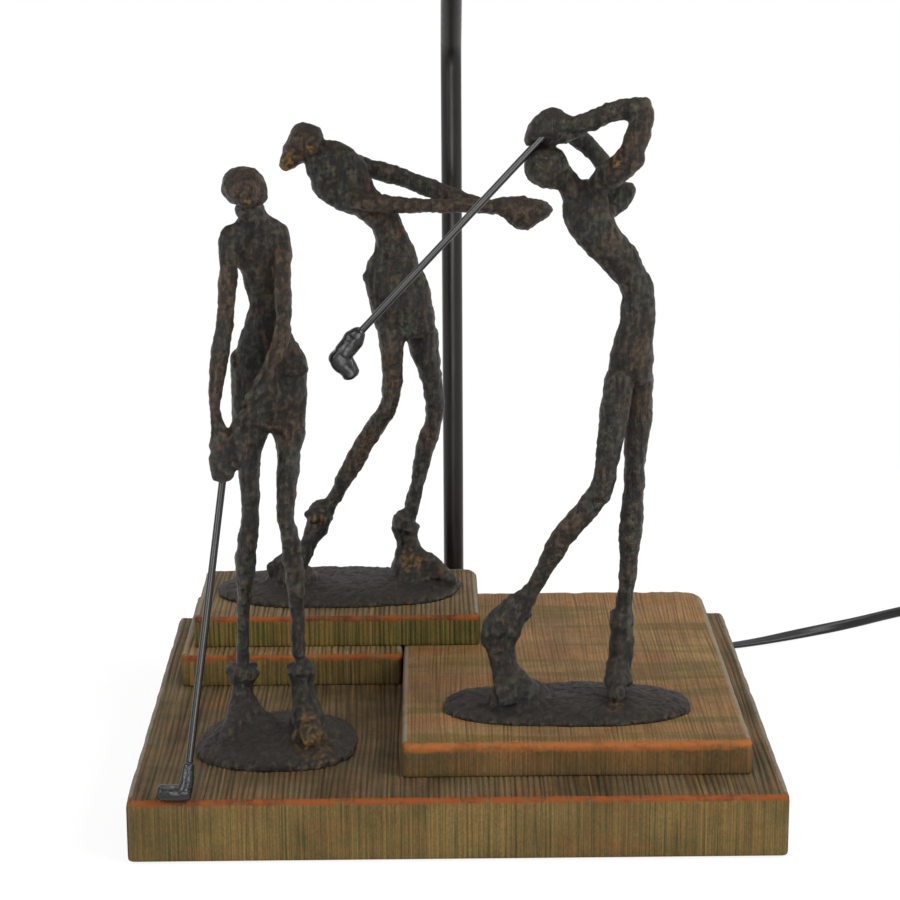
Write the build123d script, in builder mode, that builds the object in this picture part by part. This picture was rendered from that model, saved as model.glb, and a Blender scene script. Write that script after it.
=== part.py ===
"""Table lamp with three cast bronze golfers on a stepped board base.

Millimetres, +Z up. The origin is the centre of the base's underside, +X is to the right and
-Y is towards the viewer. The pole stands behind the figures, leans forward above them and
carries a turn-knob lampholder, a harp and a shade. The flat cord leaves the back of the base,
runs to the right and ends in a neat coil with its plug.
"""

import math
import os

from build123d import *

# ---- Base boards ----------------------------------------------------------------------
FELT_T = 1.5
FELT_INSET = 5.0
SLAB_W = 356.0
SLAB_D = 305.0
SLAB_T = 35.0
BOARD_T = 19.0
EDGE_R = 1.6  # rounding of every upper arris
CORNER_R = 2.0  # rounding of the upright corners
FRONT_BOARD_W = 192.0
FRONT_BOARD_D = 263.5
BOARDS_OFF_CENTRE = -1.5  # middle of the two lower boards from the slab's middle
BACK_LEDGE = 12.0  # slab left bare behind both lower boards
FRONT_BOARD_CORNER_R = 12.0  # the worn back right corner
REAR_BOARD_W = 133.6
REAR_BOARD_D = 118.5
BOARD_JOINT = 0.4  # gap where the two lower boards butt
TOP_BOARD_W = 173.5
TOP_BOARD_D = 95.5
TOP_BOARD_LEFT_STEP = 7.0  # rear board left bare beside the top board
TOP_BOARD_CORNER_R = 8.0

# ---- Pole and its fixing --------------------------------------------------------------
POLE_X = 1.5
POLE_R = 6.35
POLE_BORE_R = 5.2
POLE_GAP = 0.65  # air between the pole and the top board
POLE_SEAT = 3.0  # depth of the pole's recess in the slab
POLE_BEND_Z = 404.0
POLE_LEAN_DEG = 45.0
POLE_BEND_R = 28.0
POLE_REACH = 120.5  # how far the lampholder stands forward of the pole's foot
POLE_TOP_RUN = 29.5  # upright part above the upper bend
NIPPLE_R = 5.1
NIPPLE_BORE_R = 4.1
NIPPLE_GRIP = 14.0  # length screwed into the pole at each end
THREAD_FIT = 0.05
HOLE_FIT = 0.15  # round a part that drops into drilled wood
NUT_FLATS = 14.3
NUT_T = 5.0
WASHER_R = 8.6
WASHER_T = 1.0
FOOT_RECESS_R = 9.0
FOOT_WEB = 9.0  # wood left between the pole's seat and the washer

# ---- Figures --------------------------------------------------------------------------
ADDRESS_FROM_BOARD = 70.0  # mound's centre left of the front right board
ADDRESS_FROM_FRONT = 79.5  # and from the slab's front
ADDRESS_MOUND = (46.0, 41.5)  # half width, half depth
ADDRESS_HEAD_R = 12.2
FOLLOW_FROM_LEFT = 87.0  # mound's centre from the top board's edges
FOLLOW_FROM_FRONT = 52.0
FOLLOW_MOUND = (77.0, 37.0)
FOLLOW_HEAD_R = 11.4
SWING_FROM_RIGHT = 98.5  # mound's centre from the front right board's edges
SWING_FROM_FRONT = 56.0
SWING_MOUND = (71.5, 31.5)
SWING_HEAD_R = 12.5
SCREW_R = 2.4
SCREW_HEAD_R = 4.5
SCREW_HEAD_T = 3.0
SCREW_RECESS_R = 6.0
SCREW_RECESS = 8.0
SCREW_BITE = 6.0  # thread in the casting
MOUND_RIM = 5.0
MOUND_CROWN = 10.5
NECK_R = 5.6
SHOULDER_R = 6.0
ELBOW_R = 5.0
FOREARM_R = 4.6
WRIST_R = 3.3
HIP_R = 8.6
THIGH_R = 6.4
KNEE_R = 5.7
CALF_R = 5.6
SHIN_R = 4.1
ANKLE_R = 3.7
CUFF_R = 7.4
CUFF_H = 8.0
SHOE_R = 6.0
SHOE_TOE_R = 8.2

# ---- Clubs ----------------------------------------------------------------------------
SHAFT_R = 2.0
SHAFT_GRIP = 14.0  # length held inside the hands
HOSEL_R = 3.4
HOSEL_L = 14.0
HOSEL_DEPTH = 6.0
CLUB_FIT = 0.03
BLADE_T = 7.0
BLADE_AHEAD = 3.0  # the address blade stands forward of its shaft
BLADE_CORNER_R = 1.5

# ---- Cord -----------------------------------------------------------------------------
CORD_W = 7.0
CORD_T = 3.6
CORD_CHAMFER = 1.1
BUSHING_Z = 10.5
BUSHING_R = 4.8
BUSHING_FLANGE_R = 6.5
BUSHING_FLANGE_T = 1.5
BUSHING_SLOT_FIT = 0.15
INNER_BEND_R = 6.5
RUN_LAST = 46.0  # last straight run into the coil
RUN_FROM_POLE = (
    (0.0, 21.5, 10.5),
    (12.0, 43.0, 8.0),
    (35.5, 56.5, 5.6),
    (69.5, 54.5, 4.4),
    (110.5, 42.0, 4.0),
)  # corners: right of the pole, behind the slab, height
RUN_FROM_SIDE = (
    (-27.0, 30.0, 4.0),
    (0.0, 27.0, 4.0),
    (26.0, 35.0, 4.0),
    (61.0, 51.0, 4.0),
    (96.5, 68.0, 4.0),
)  # corners: right of the slab's side, behind the slab, height
TAIL_FIRST = 24.0  # straight out of the coil
TAIL_BENDS = ((16.5, 19.5), (25.0, 42.0))  # then left and forward from there
COIL_BESIDE = 196.5  # coil's centre from the slab's right side
COIL_BEHIND = 77.0  # and from its back
COIL_R = 43.0  # outermost half turn
COIL_GAP = 0.75  # between turns
LAYER_GAP = 0.5
COIL_ANGLE = 120.0  # where the cord meets the coil
COIL_HALF_TURNS = 5  # in each of the two layers
TIE_T = 0.8
TIE_W = 6.0
TIE_FIT = 0.9
PLUG_NECK_L = 24.0  # tapered strain relief
PLUG_NECK_W = 9.0
PLUG_NECK_H = 9.5
PLUG_BODY_L = 27.0
PLUG_W = 25.0
PLUG_H = 13.5
PLUG_FACE_R = 3.0
BLADE_SPACING = 12.7
PRONG_T = 1.5
PRONG_L = 17.5
PRONG_W = (6.35, 7.9)  # line and neutral
PRONG_ROOT = 6.0  # length moulded into the plug
PRONG_EYE = 3.5  # hole's centre from the prong's tip

# ---- Lampholder, harp and shade -------------------------------------------------------
SADDLE_T = 1.6
SADDLE_W = 12.0
SADDLE_SPAN = 50.0  # between the harp's legs
SADDLE_EAR = 15.0
CAP_NECK_R = 8.5
CAP_R = 16.2
CAP_H = 19.0
SHEET_T = 0.7
SHELL_R = 17.2
SHELL_H = 41.0
SHELL_LAP = 5.0  # shell over cap
LINER_T = 0.6
LINER_GAP = 0.15
CORE_R = 13.8
CORE_H = 18.0
BULB_THREAD_R = 13.3
SCREW_SHELL_H = 22.0
SCREW_SHELL_T = 0.5
CONTACT_R = 4.0
CONTACT_T = 0.4  # thinner than the screw shell's floor, so that a bulb seats freely
KNOB_Z = 12.0  # above the cap's rim
KNOB_SHAFT_R = 1.6
KNOB_R = 5.2
KNOB_L = 11.0
KNOB_STAND = 3.0  # shell to knob
KNOB_GRIPS = 8
KNOB_SOCKET = 8.0  # depth of the shaft's hole in the core
KNOB_END_GAP = 0.5
RUN_FIT = 0.08
HARP_WIRE_R = 1.6
HARP_H = 229.0
HARP_BULGE = 74.0  # widest, between wire centres
HARP_LEG = 34.0  # straight part above the saddle
SLEEVE_WALL = 0.9
SLEEVE_L = 11.0
SLEEVE_TRAVEL = 9.0
STUD_R = 3.1
STUD_L = 13.0
SEAT_R = 8.0
SEAT_T = 2.0
SHADE_BOTTOM_R = 203.0
SHADE_TOP_R = 128.0
SHADE_H = 262.0
SHADE_T = 1.2
SPIDER_DROP = 13.0
SPIDER_ARMS = 3
RING_R = 1.5  # wire of the shade's rings
HUB_R = 9.0
HUB_T = 1.6
MOVE_GAP = 0.2  # air between pieces that turn on each other
FINIAL_R = 8.0
FINIAL_H = 26.0

# ---- Derived levels and places --------------------------------------------------------
SLAB_TOP = FELT_T + SLAB_T
LOWER_TOP = SLAB_TOP + BOARD_T
UPPER_TOP = LOWER_TOP + BOARD_T
BOARD_BACK_Y = SLAB_D / 2 - BACK_LEDGE
POLE_Y = BOARD_BACK_Y
LEAN = math.radians(POLE_LEAN_DEG)
UPPER_BEND_Z = POLE_BEND_Z + POLE_REACH / math.tan(LEAN)
POLE_TOP_Z = UPPER_BEND_Z + POLE_TOP_RUN
LAMP_Y = POLE_Y - POLE_REACH
LOWER_BOARDS_W = FRONT_BOARD_W + BOARD_JOINT + REAR_BOARD_W
FRONT_BOARD_X = BOARDS_OFF_CENTRE + LOWER_BOARDS_W / 2 - FRONT_BOARD_W / 2
FRONT_BOARD_Y = BOARD_BACK_Y - FRONT_BOARD_D / 2
REAR_BOARD_X = FRONT_BOARD_X - FRONT_BOARD_W / 2 - BOARD_JOINT - REAR_BOARD_W / 2
REAR_BOARD_Y = BOARD_BACK_Y - REAR_BOARD_D / 2
TOP_BOARD_X = REAR_BOARD_X - REAR_BOARD_W / 2 + TOP_BOARD_LEFT_STEP + TOP_BOARD_W / 2
TOP_BOARD_Y = POLE_Y - POLE_R - POLE_GAP - TOP_BOARD_D / 2
POLE_FOOT_Z = SLAB_TOP - POLE_SEAT
WASHER_TOP_Z = POLE_FOOT_Z - FOOT_WEB
NUT_TOP_Z = WASHER_TOP_Z - WASHER_T
NIPPLE_END_Z = NUT_TOP_Z - NUT_T - 1.0
SLAB_BACK_Y = SLAB_D / 2
BUSHING_FACE_Y = SLAB_BACK_Y + BUSHING_FLANGE_T
COIL_X = SLAB_W / 2 + COIL_BESIDE
COIL_Y = SLAB_BACK_Y + COIL_BEHIND
PLUG_L = PLUG_NECK_L + PLUG_BODY_L
SADDLE_Z = POLE_TOP_Z
CAP_Z = SADDLE_Z + SADDLE_T
CAP_RIM_Z = CAP_Z + CAP_H
SHELL_Z = CAP_RIM_Z - SHELL_LAP
CORE_Z = CAP_RIM_Z - 6.0
CORE_TOP_Z = CORE_Z + CORE_H
KNOB_AXIS_Z = CAP_RIM_Z + KNOB_Z - 4.0
HARP_LEG_X = SADDLE_SPAN / 2
HARP_TOP_Z = SADDLE_Z + HARP_H
SEAT_TOP_Z = HARP_TOP_Z + SEAT_T
HUB_Z = SEAT_TOP_Z + MOVE_GAP
FINIAL_Z = HUB_Z + HUB_T + MOVE_GAP
SHADE_TOP_Z = HUB_Z + SPIDER_DROP
SHADE_BOTTOM_Z = SHADE_TOP_Z - SHADE_H

os.makedirs("parts", exist_ok=True)


def save(part, name):
    """Label one finished piece and write it to its own file."""
    part.label = name
    export_step(part, f"parts/{name}.step")


# ---- Wooden base ----------------------------------------------------------------------
def board(width, depth, thickness, centre_x, centre_y, bottom, back_right_r):
    """A plank with rounded upper edges and one worn corner at the back right."""
    with BuildPart() as plank:
        with BuildSketch(Plane.XY.offset(bottom)):
            with Locations((centre_x, centre_y)):
                Rectangle(width, depth)
        extrude(amount=thickness)
        corners = plank.edges().filter_by(Axis.Z)
        worn = corners.sort_by(Axis.X)[-2:].sort_by(Axis.Y)[-1]
        fillet(worn, back_right_r)
        upright = plank.edges().filter_by(Axis.Z).filter_by(GeomType.LINE)
        square = [e for e in upright if (e.center() - worn.center()).length > 2 * back_right_r]
        fillet(square, CORNER_R)
        fillet(plank.faces().sort_by(Axis.Z)[-1].edges(), EDGE_R)
    return plank.part


FIGURES = {
    "golfer_address": (
        FRONT_BOARD_X - FRONT_BOARD_W / 2 - ADDRESS_FROM_BOARD,
        -SLAB_D / 2 + ADDRESS_FROM_FRONT,
        SLAB_TOP,
        *ADDRESS_MOUND,
    ),
    "golfer_follow_through": (
        TOP_BOARD_X - TOP_BOARD_W / 2 + FOLLOW_FROM_LEFT,
        TOP_BOARD_Y - TOP_BOARD_D / 2 + FOLLOW_FROM_FRONT,
        UPPER_TOP,
        *FOLLOW_MOUND,
    ),
    "golfer_backswing": (
        FRONT_BOARD_X + FRONT_BOARD_W / 2 - SWING_FROM_RIGHT,
        FRONT_BOARD_Y - FRONT_BOARD_D / 2 + SWING_FROM_FRONT,
        LOWER_TOP,
        *SWING_MOUND,
    ),
}  # mound centre x, y, level, half width, half depth

slab_blank = board(SLAB_W, SLAB_D, SLAB_T, 0, 0, FELT_T, CORNER_R)

with BuildPart() as base_slab:
    add(slab_blank)
    with Locations((POLE_X, POLE_Y, SLAB_TOP)):
        Hole(POLE_R + HOLE_FIT, depth=POLE_SEAT)
        Hole(NIPPLE_R + HOLE_FIT, depth=SLAB_T)
    with BuildSketch(Plane.XY.offset(FELT_T)):
        with Locations((POLE_X, POLE_Y)):
            Circle(FOOT_RECESS_R)
    extrude(amount=WASHER_TOP_Z - FELT_T, mode=Mode.SUBTRACT)
    with BuildSketch(Plane.XZ.offset(-SLAB_BACK_Y)):
        with Locations((POLE_X, BUSHING_Z)):
            Circle(BUSHING_R + HOLE_FIT)
    extrude(amount=SLAB_BACK_Y - POLE_Y, mode=Mode.SUBTRACT)
    for x, y, level, _, _ in FIGURES.values():
        with BuildSketch(Plane.XY.offset(FELT_T)):
            with Locations((x, y)):
                Circle(SCREW_RECESS_R)
        extrude(amount=SCREW_RECESS, mode=Mode.SUBTRACT)
        with BuildSketch(Plane.XY.offset(FELT_T)):
            with Locations((x, y)):
                Circle(SCREW_R + HOLE_FIT)
        extrude(amount=SLAB_T, mode=Mode.SUBTRACT)
save(base_slab.part, "base_slab")


def screw_holes(level_above):
    """The figure screws' holes through the boards, for each figure that stands above a level."""
    places = [(x, y) for x, y, level, _, _ in FIGURES.values() if level > level_above]
    with BuildPart() as holes:
        with BuildSketch(Plane.XY.offset(SLAB_TOP)):
            with Locations(*places):
                Circle(SCREW_R + HOLE_FIT)
        extrude(amount=2 * BOARD_T)
    return holes.part


front_blank = board(
    FRONT_BOARD_W,
    FRONT_BOARD_D,
    BOARD_T,
    FRONT_BOARD_X,
    FRONT_BOARD_Y,
    SLAB_TOP,
    FRONT_BOARD_CORNER_R,
)
rear_blank = board(
    REAR_BOARD_W,
    REAR_BOARD_D,
    BOARD_T,
    REAR_BOARD_X,
    REAR_BOARD_Y,
    SLAB_TOP,
    CORNER_R,
)
top_blank = board(
    TOP_BOARD_W,
    TOP_BOARD_D,
    BOARD_T,
    TOP_BOARD_X,
    TOP_BOARD_Y,
    LOWER_TOP,
    TOP_BOARD_CORNER_R,
)
lower_holes = screw_holes(SLAB_TOP)
upper_holes = screw_holes(LOWER_TOP)

with BuildPart() as front_right_board:
    add(front_blank)
    add(lower_holes, mode=Mode.SUBTRACT)
    with Locations((POLE_X, POLE_Y, LOWER_TOP)):
        Hole(POLE_R + HOLE_FIT, depth=BOARD_T)
save(front_right_board.part, "front_right_board")

with BuildPart() as rear_left_board:
    add(rear_blank)
    add(lower_holes, mode=Mode.SUBTRACT)
save(rear_left_board.part, "rear_left_board")

with BuildPart() as top_board:
    add(top_blank)
    add(upper_holes, mode=Mode.SUBTRACT)
save(top_board.part, "top_board")

with BuildPart() as felt_pad:
    with BuildSketch():
        RectangleRounded(SLAB_W - 2 * FELT_INSET, SLAB_D - 2 * FELT_INSET, 8)
    extrude(amount=FELT_T)
save(felt_pad.part, "felt_pad")

for name, (x, y, level, _, _) in FIGURES.items():
    with BuildPart() as figure_screw:
        with BuildSketch(Plane.XY.offset(FELT_T + SCREW_RECESS - SCREW_HEAD_T)):
            with Locations((x, y)):
                Circle(SCREW_HEAD_R)
        extrude(amount=SCREW_HEAD_T)
        with BuildSketch(Plane.XY.offset(FELT_T + SCREW_RECESS)):
            with Locations((x, y)):
                Circle(SCREW_R)
        extrude(amount=level + SCREW_BITE - FELT_T - SCREW_RECESS)
        with BuildSketch(Plane.XY.offset(FELT_T + SCREW_RECESS - SCREW_HEAD_T)):
            with Locations((x, y)):
                Rectangle(2 * SCREW_HEAD_R, 1.0)
        extrude(amount=1.2, mode=Mode.SUBTRACT)
    save(figure_screw.part, name.replace("golfer", "screw"))


# ---- Cast figures ---------------------------------------------------------------------
def loft_stations(stations):
    """Loft through (point, half width, half depth) stations, square to the way they run.

    The depth of each section stays towards +Y, so that the sides don't twist.
    """
    points = [Vector(*point) for point, _, _ in stations]
    last = len(points) - 1
    with BuildPart() as limb:
        for i, (_, half_width, half_depth) in enumerate(stations):
            way = points[min(i + 1, last)] - points[max(i - 1, 0)]
            side = Vector(0, 1, 0).cross(way).normalized()
            with BuildSketch(Plane(origin=points[i], x_dir=side, z_dir=way)):
                Ellipse(half_width, half_depth)
        loft(ruled=True)
    return limb.part


def level_loft(stations):
    """Loft through level ellipses: (x, y, z, half width, half depth)."""
    with BuildPart() as form:
        for x, y, z, half_width, half_depth in stations:
            with BuildSketch(Plane.XY.offset(z)):
                with Locations((x, y)):
                    Ellipse(half_width, half_depth)
        loft(ruled=True)
    return form.part


def between(start, end, share):
    """The point that lies a share of the way from start to end."""
    return tuple(a + (b - a) * share for a, b in zip(start, end))


def arm(nape, shoulder, elbow, wrist):
    """Shoulder, upper arm and forearm, rooted in the chest and thin at the wrist."""
    radii = (SHOULDER_R, SHOULDER_R, ELBOW_R, ELBOW_R, FOREARM_R, WRIST_R)
    stops = (
        between(shoulder, nape, 0.5),
        shoulder,
        between(shoulder, elbow, 0.6),
        elbow,
        between(elbow, wrist, 0.45),
        wrist,
    )
    return loft_stations([(p, r, r) for p, r in zip(stops, radii)])


def leg(hip, knee, ankle):
    """Thigh, knee and shin of a trouser leg that hangs close to the limb."""
    radii = (HIP_R, THIGH_R, KNEE_R, CALF_R, SHIN_R, ANKLE_R)
    stops = (
        hip,
        between(hip, knee, 0.4),
        knee,
        between(knee, ankle, 0.25),
        between(knee, ankle, 0.65),
        ankle,
    )
    return loft_stations([(p, r, r) for p, r in zip(stops, radii)])


def shoe(ankle, sole, toe):
    """Trouser cuff and shoe, from the ankle down to the sole and out to the toe."""
    fall = Vector(*sole) - Vector(*ankle)
    cuff_end = Vector(*ankle) + fall.normalized() * CUFF_H
    cuff = loft_stations(
        [
            (ankle, ANKLE_R + 0.8, ANKLE_R + 0.8),
            (tuple(cuff_end), CUFF_R, CUFF_R),
        ]
    )
    upper = loft_stations(
        [
            (ankle, ANKLE_R, ANKLE_R),
            (between(ankle, sole, 0.5), SHOE_R, SHOE_R),
            (sole, SHOE_TOE_R, SHOE_TOE_R),
        ]
    )
    foot = loft_stations(
        [
            (between(ankle, sole, 0.55), SHOE_R * 0.8, SHOE_R * 0.8),
            (between(sole, toe, 0.5), SHOE_R, SHOE_R),
            (toe, SHOE_R * 0.6, SHOE_R * 0.6),
        ]
    )
    return [cuff, upper, foot]


def head(crown_way, centre, radius):
    """A plain egg with no features; crown_way points from the chin to the crown."""
    way = Vector(*crown_way).normalized()
    rings = ((-1.0, 0.35), (-0.7, 0.72), (0.0, 1.0), (0.45, 0.9), (0.8, 0.58), (0.98, 0.18))
    stops = [
        (tuple(Vector(*centre) + way * radius * along), radius * wide, radius * wide)
        for along, wide in rings
    ]
    return loft_stations(stops)


def rod(start, end, radius):
    """A plain round rod between two points, used as a piece and as a cutter."""
    way = Vector(*end) - Vector(*start)
    with BuildPart() as bar:
        with BuildSketch(Plane(origin=start, z_dir=way)):
            Circle(radius)
        extrude(amount=way.length)
    return bar.part


def mound(name):
    """The cast ground under a figure: a steep low rim and a flat crown."""
    x, y, level, half_width, half_depth = FIGURES[name]
    return level_loft(
        [
            (x, y, level, half_width, half_depth),
            (x, y, level + MOUND_RIM * 0.6, half_width * 0.985, half_depth * 0.97),
            (x, y, level + MOUND_RIM, half_width * 0.94, half_depth * 0.9),
            (x, y, level + MOUND_CROWN, half_width * 0.62, half_depth * 0.55),
        ]
    )


def place(name, joints):
    """Turn joints given from the mound's centre and level into places in the lamp."""
    x, y, level, _, _ = FIGURES[name]
    return {key: (x + jx, y + jy, level + jz) for key, (jx, jy, jz) in joints.items()}


def golfer(name, joints, torso, hands, head_r, cutters):
    """Fuse one figure from its joints, torso sections and hands, then cut it for its fittings.

    torso and hands are lists of (point, half width, half depth), from the mound's centre.
    """
    x, y, level, _, _ = FIGURES[name]
    j = place(name, joints)
    crown_way = Vector(*j["head"]) - Vector(*j["chin"])

    def shift(stations):
        return [((x + p[0], y + p[1], level + p[2]), a, b) for p, a, b in stations]

    forms = [mound(name), loft_stations(shift(torso))]
    for side in ("left", "right"):
        forms.append(leg(j[f"hip_{side}"], j[f"knee_{side}"], j[f"ankle_{side}"]))
        forms.extend(shoe(j[f"ankle_{side}"], j[f"sole_{side}"], j[f"toe_{side}"]))
        forms.append(
            arm(j["nape"], j[f"shoulder_{side}"], j[f"elbow_{side}"], j[f"wrist_{side}"])
        )
    forms.append(loft_stations([(j["nape"], NECK_R * 1.15, NECK_R), (j["head"], NECK_R, NECK_R)]))
    forms.append(head(tuple(crown_way), j["head"], head_r))
    forms.extend(loft_stations(shift(lump)) for lump in hands)

    with BuildPart() as figure:
        for form in forms:
            add(form)
        with Locations((x, y, level)):
            Cylinder(
                SCREW_R + THREAD_FIT,
                SCREW_BITE,
                align=(Align.CENTER, Align.CENTER, Align.MIN),
                mode=Mode.SUBTRACT,
            )
        for cutter in cutters:
            add(cutter, mode=Mode.SUBTRACT)
    return figure.part


# Joints from the mound's centre, on the board that the figure stands on.
ADDRESS = {
    "head": (-9.5, -17.0, 319.5),
    "chin": (-8.0, -20.5, 310.5),
    "nape": (-5.5, -7.5, 294.0),
    "shoulder_left": (-17.5, -13.0, 291.5),
    "elbow_left": (-25.5, -19.0, 226.0),
    "wrist_left": (-28.5, -27.0, 192.0),
    "shoulder_right": (9.5, -1.0, 285.0),
    "elbow_right": (7.5, -3.0, 236.0),
    "wrist_right": (-15.0, -23.0, 195.0),
    "hip_left": (-11.5, -1.0, 194.0),
    "knee_left": (-14.5, -7.0, 118.5),
    "ankle_left": (-19.5, 9.0, 50.0),
    "sole_left": (-20.5, 9.0, 8.0),
    "toe_left": (-24.0, -4.0, 9.0),
    "hip_right": (9.5, 3.0, 187.0),
    "knee_right": (9.5, -13.0, 120.0),
    "ankle_right": (12.5, -3.0, 54.0),
    "sole_right": (15.5, -5.0, 8.0),
    "toe_right": (20.0, -17.0, 9.0),
}
ADDRESS_TORSO = [
    ((-3.0, -9.0, 296.0), 15.0, 7.0),
    ((-2.0, -6.0, 282.0), 17.5, 9.5),
    ((1.0, -2.0, 254.0), 11.5, 8.0),
    ((0.5, 1.0, 238.0), 14.5, 9.5),
    ((-0.5, 1.0, 218.0), 21.0, 11.5),
    ((-1.5, 1.0, 196.0), 20.0, 11.0),
    ((-1.5, 1.0, 178.0), 13.0, 8.5),
]
ADDRESS_HANDS = [
    [
        ((-28.5, -27.0, 196.0), 4.0, 4.0),
        ((-24.0, -29.0, 180.0), 6.8, 6.5),
        ((-24.0, -30.0, 168.0), 5.6, 5.6),
        ((-25.0, -31.0, 161.0), 3.6, 3.6),
    ],
    [
        ((-15.0, -23.0, 197.0), 3.4, 3.4),
        ((-17.0, -27.0, 183.0), 4.6, 4.8),
        ((-18.5, -28.0, 166.0), 3.0, 3.2),
    ],
]
FOLLOW = {
    "head": (-16.5, -1.0, 283.0),
    "chin": (-26.5, -3.0, 267.0),
    "nape": (-5.5, 0.0, 263.0),
    "shoulder_left": (11.5, -8.0, 246.5),
    "elbow_left": (52.5, -10.0, 243.0),
    "wrist_left": (95.5, -4.0, 241.5),
    "shoulder_right": (9.5, 10.0, 267.5),
    "elbow_right": (49.5, 12.0, 255.0),
    "wrist_right": (92.5, 2.0, 242.5),
    "hip_left": (34.5, -6.0, 164.5),
    "knee_left": (31.5, -12.0, 125.5),
    "ankle_left": (-4.5, -6.0, 60.5),
    "sole_left": (-16.5, -6.0, 20.0),
    "toe_left": (-41.5, -8.0, 12.0),
    "hip_right": (54.5, 6.0, 155.5),
    "knee_right": (60.5, 8.0, 115.5),
    "ankle_right": (43.5, 4.0, 47.5),
    "sole_right": (42.5, 4.0, 10.0),
    "toe_right": (68.0, -1.0, 8.0),
}
FOLLOW_TORSO = [
    ((-2.0, 0.0, 265.0), 14.0, 8.0),
    ((6.0, 0.0, 256.0), 18.0, 10.0),
    ((19.5, 0.0, 241.5), 15.0, 9.0),
    ((33.5, 0.0, 225.0), 9.5, 8.0),
    ((37.0, 0.0, 209.0), 14.5, 10.0),
    ((38.0, 0.0, 194.5), 18.5, 11.5),
    ((41.5, 0.0, 175.0), 19.0, 11.5),
    ((44.5, 0.0, 152.0), 13.0, 9.0),
]
FOLLOW_HANDS = [
    [
        ((93.0, -1.0, 242.0), 4.6, 6.0),
        ((108.0, 0.0, 240.5), 6.5, 6.5),
        ((119.0, 0.0, 239.5), 7.4, 5.6),
        ((130.5, 0.0, 239.5), 4.0, 3.6),
    ],
]
BACKSWING = {
    "head": (-12.0, 1.0, 306.5),
    "chin": (-9.0, -3.0, 295.0),
    "nape": (9.0, 1.0, 290.0),
    "shoulder_left": (26.0, -13.0, 304.0),
    "elbow_left": (35.0, -19.0, 339.0),
    "wrist_left": (6.0, -13.0, 331.5),
    "shoulder_right": (20.0, 11.0, 298.0),
    "elbow_right": (10.5, 10.0, 316.0),
    "wrist_right": (-2.0, 3.0, 323.5),
    "hip_left": (24.0, -5.0, 177.5),
    "knee_left": (15.0, -11.0, 127.5),
    "ankle_left": (-31.0, -5.0, 58.5),
    "sole_left": (-32.0, -5.0, 8.0),
    "toe_left": (-34.0, -17.0, 9.0),
    "hip_right": (38.0, 3.0, 172.5),
    "knee_right": (35.0, 1.0, 106.5),
    "ankle_right": (31.0, 3.0, 51.5),
    "sole_right": (29.0, 3.0, 8.0),
    "toe_right": (28.0, -8.0, 9.0),
}
BACKSWING_TORSO = [
    ((18.0, -1.0, 304.0), 15.0, 9.0),
    ((15.0, -1.0, 277.5), 13.5, 9.0),
    ((25.0, -1.0, 262.5), 14.5, 9.5),
    ((36.0, -1.0, 243.0), 9.8, 8.0),
    ((36.5, -1.0, 220.0), 10.5, 8.5),
    ((33.0, -1.0, 196.0), 12.5, 9.5),
    ((32.0, -1.0, 175.0), 13.5, 9.5),
    ((31.5, -1.0, 160.0), 9.0, 7.0),
]
BACKSWING_HANDS = [
    [
        ((8.0, -11.0, 331.0), 7.5, 5.5),
        ((-6.0, -6.0, 330.0), 10.5, 7.5),
        ((-17.0, -5.5, 327.0), 9.0, 7.0),
        ((-24.0, -5.5, 318.5), 4.2, 4.2),
    ],
]

# Club lines from the mound's centre: the hands' end and the head's end of each shaft.
ADDRESS_SHAFT = ((-24.5, -31.0, 162.5), (-44.4, -76.8, 9.5))
BACKSWING_SHAFT = ((-22.0, -9.0, 317.5), (-113.0, 1.0, 218.5))


def club_line(name, ends):
    """Place a shaft and run its upper end on into the hands."""
    x, y, level, _, _ = FIGURES[name]
    top = Vector(x + ends[0][0], y + ends[0][1], level + ends[0][2])
    tip = Vector(x + ends[1][0], y + ends[1][1], level + ends[1][2])
    way = (top - tip).normalized()
    return tuple(top + way * SHAFT_GRIP), tuple(tip), way


address_top, address_tip, address_way = club_line("golfer_address", ADDRESS_SHAFT)
swing_top, swing_tip, swing_way = club_line("golfer_backswing", BACKSWING_SHAFT)

save(
    golfer(
        "golfer_address",
        ADDRESS,
        ADDRESS_TORSO,
        ADDRESS_HANDS,
        ADDRESS_HEAD_R,
        [rod(address_tip, address_top, SHAFT_R + CLUB_FIT)],
    ),
    "golfer_address",
)
save(
    golfer("golfer_follow_through", FOLLOW, FOLLOW_TORSO, FOLLOW_HANDS, FOLLOW_HEAD_R, []),
    "golfer_follow_through",
)
save(
    golfer(
        "golfer_backswing",
        BACKSWING,
        BACKSWING_TORSO,
        BACKSWING_HANDS,
        SWING_HEAD_R,
        [rod(swing_tip, swing_top, SHAFT_R + CLUB_FIT)],
    ),
    "golfer_backswing",
)

# ---- Clubs ----------------------------------------------------------------------------
save(rod(address_tip, address_top, SHAFT_R), "address_club_shaft")
save(rod(swing_tip, swing_top, SHAFT_R), "backswing_club_shaft")


def club_head(tip, way, blade_plane, outline):
    """An iron: a hosel bored for the shaft and a blade cut to the given outline."""
    top = Vector(*tip) + way * HOSEL_DEPTH
    foot = Vector(*tip) - way * (HOSEL_L - HOSEL_DEPTH)
    bore = rod(tip, tuple(top), SHAFT_R + CLUB_FIT)
    hosel = rod(tuple(foot), tuple(top), HOSEL_R)
    with BuildPart() as iron:
        with BuildSketch(blade_plane) as blade:
            with BuildLine():
                Polyline(*outline, close=True)
            make_face()
            fillet(blade.vertices(), BLADE_CORNER_R)
        extrude(amount=BLADE_T / 2, both=True)
        add(hosel)
        add(bore, mode=Mode.SUBTRACT)
    return iron.part


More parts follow.
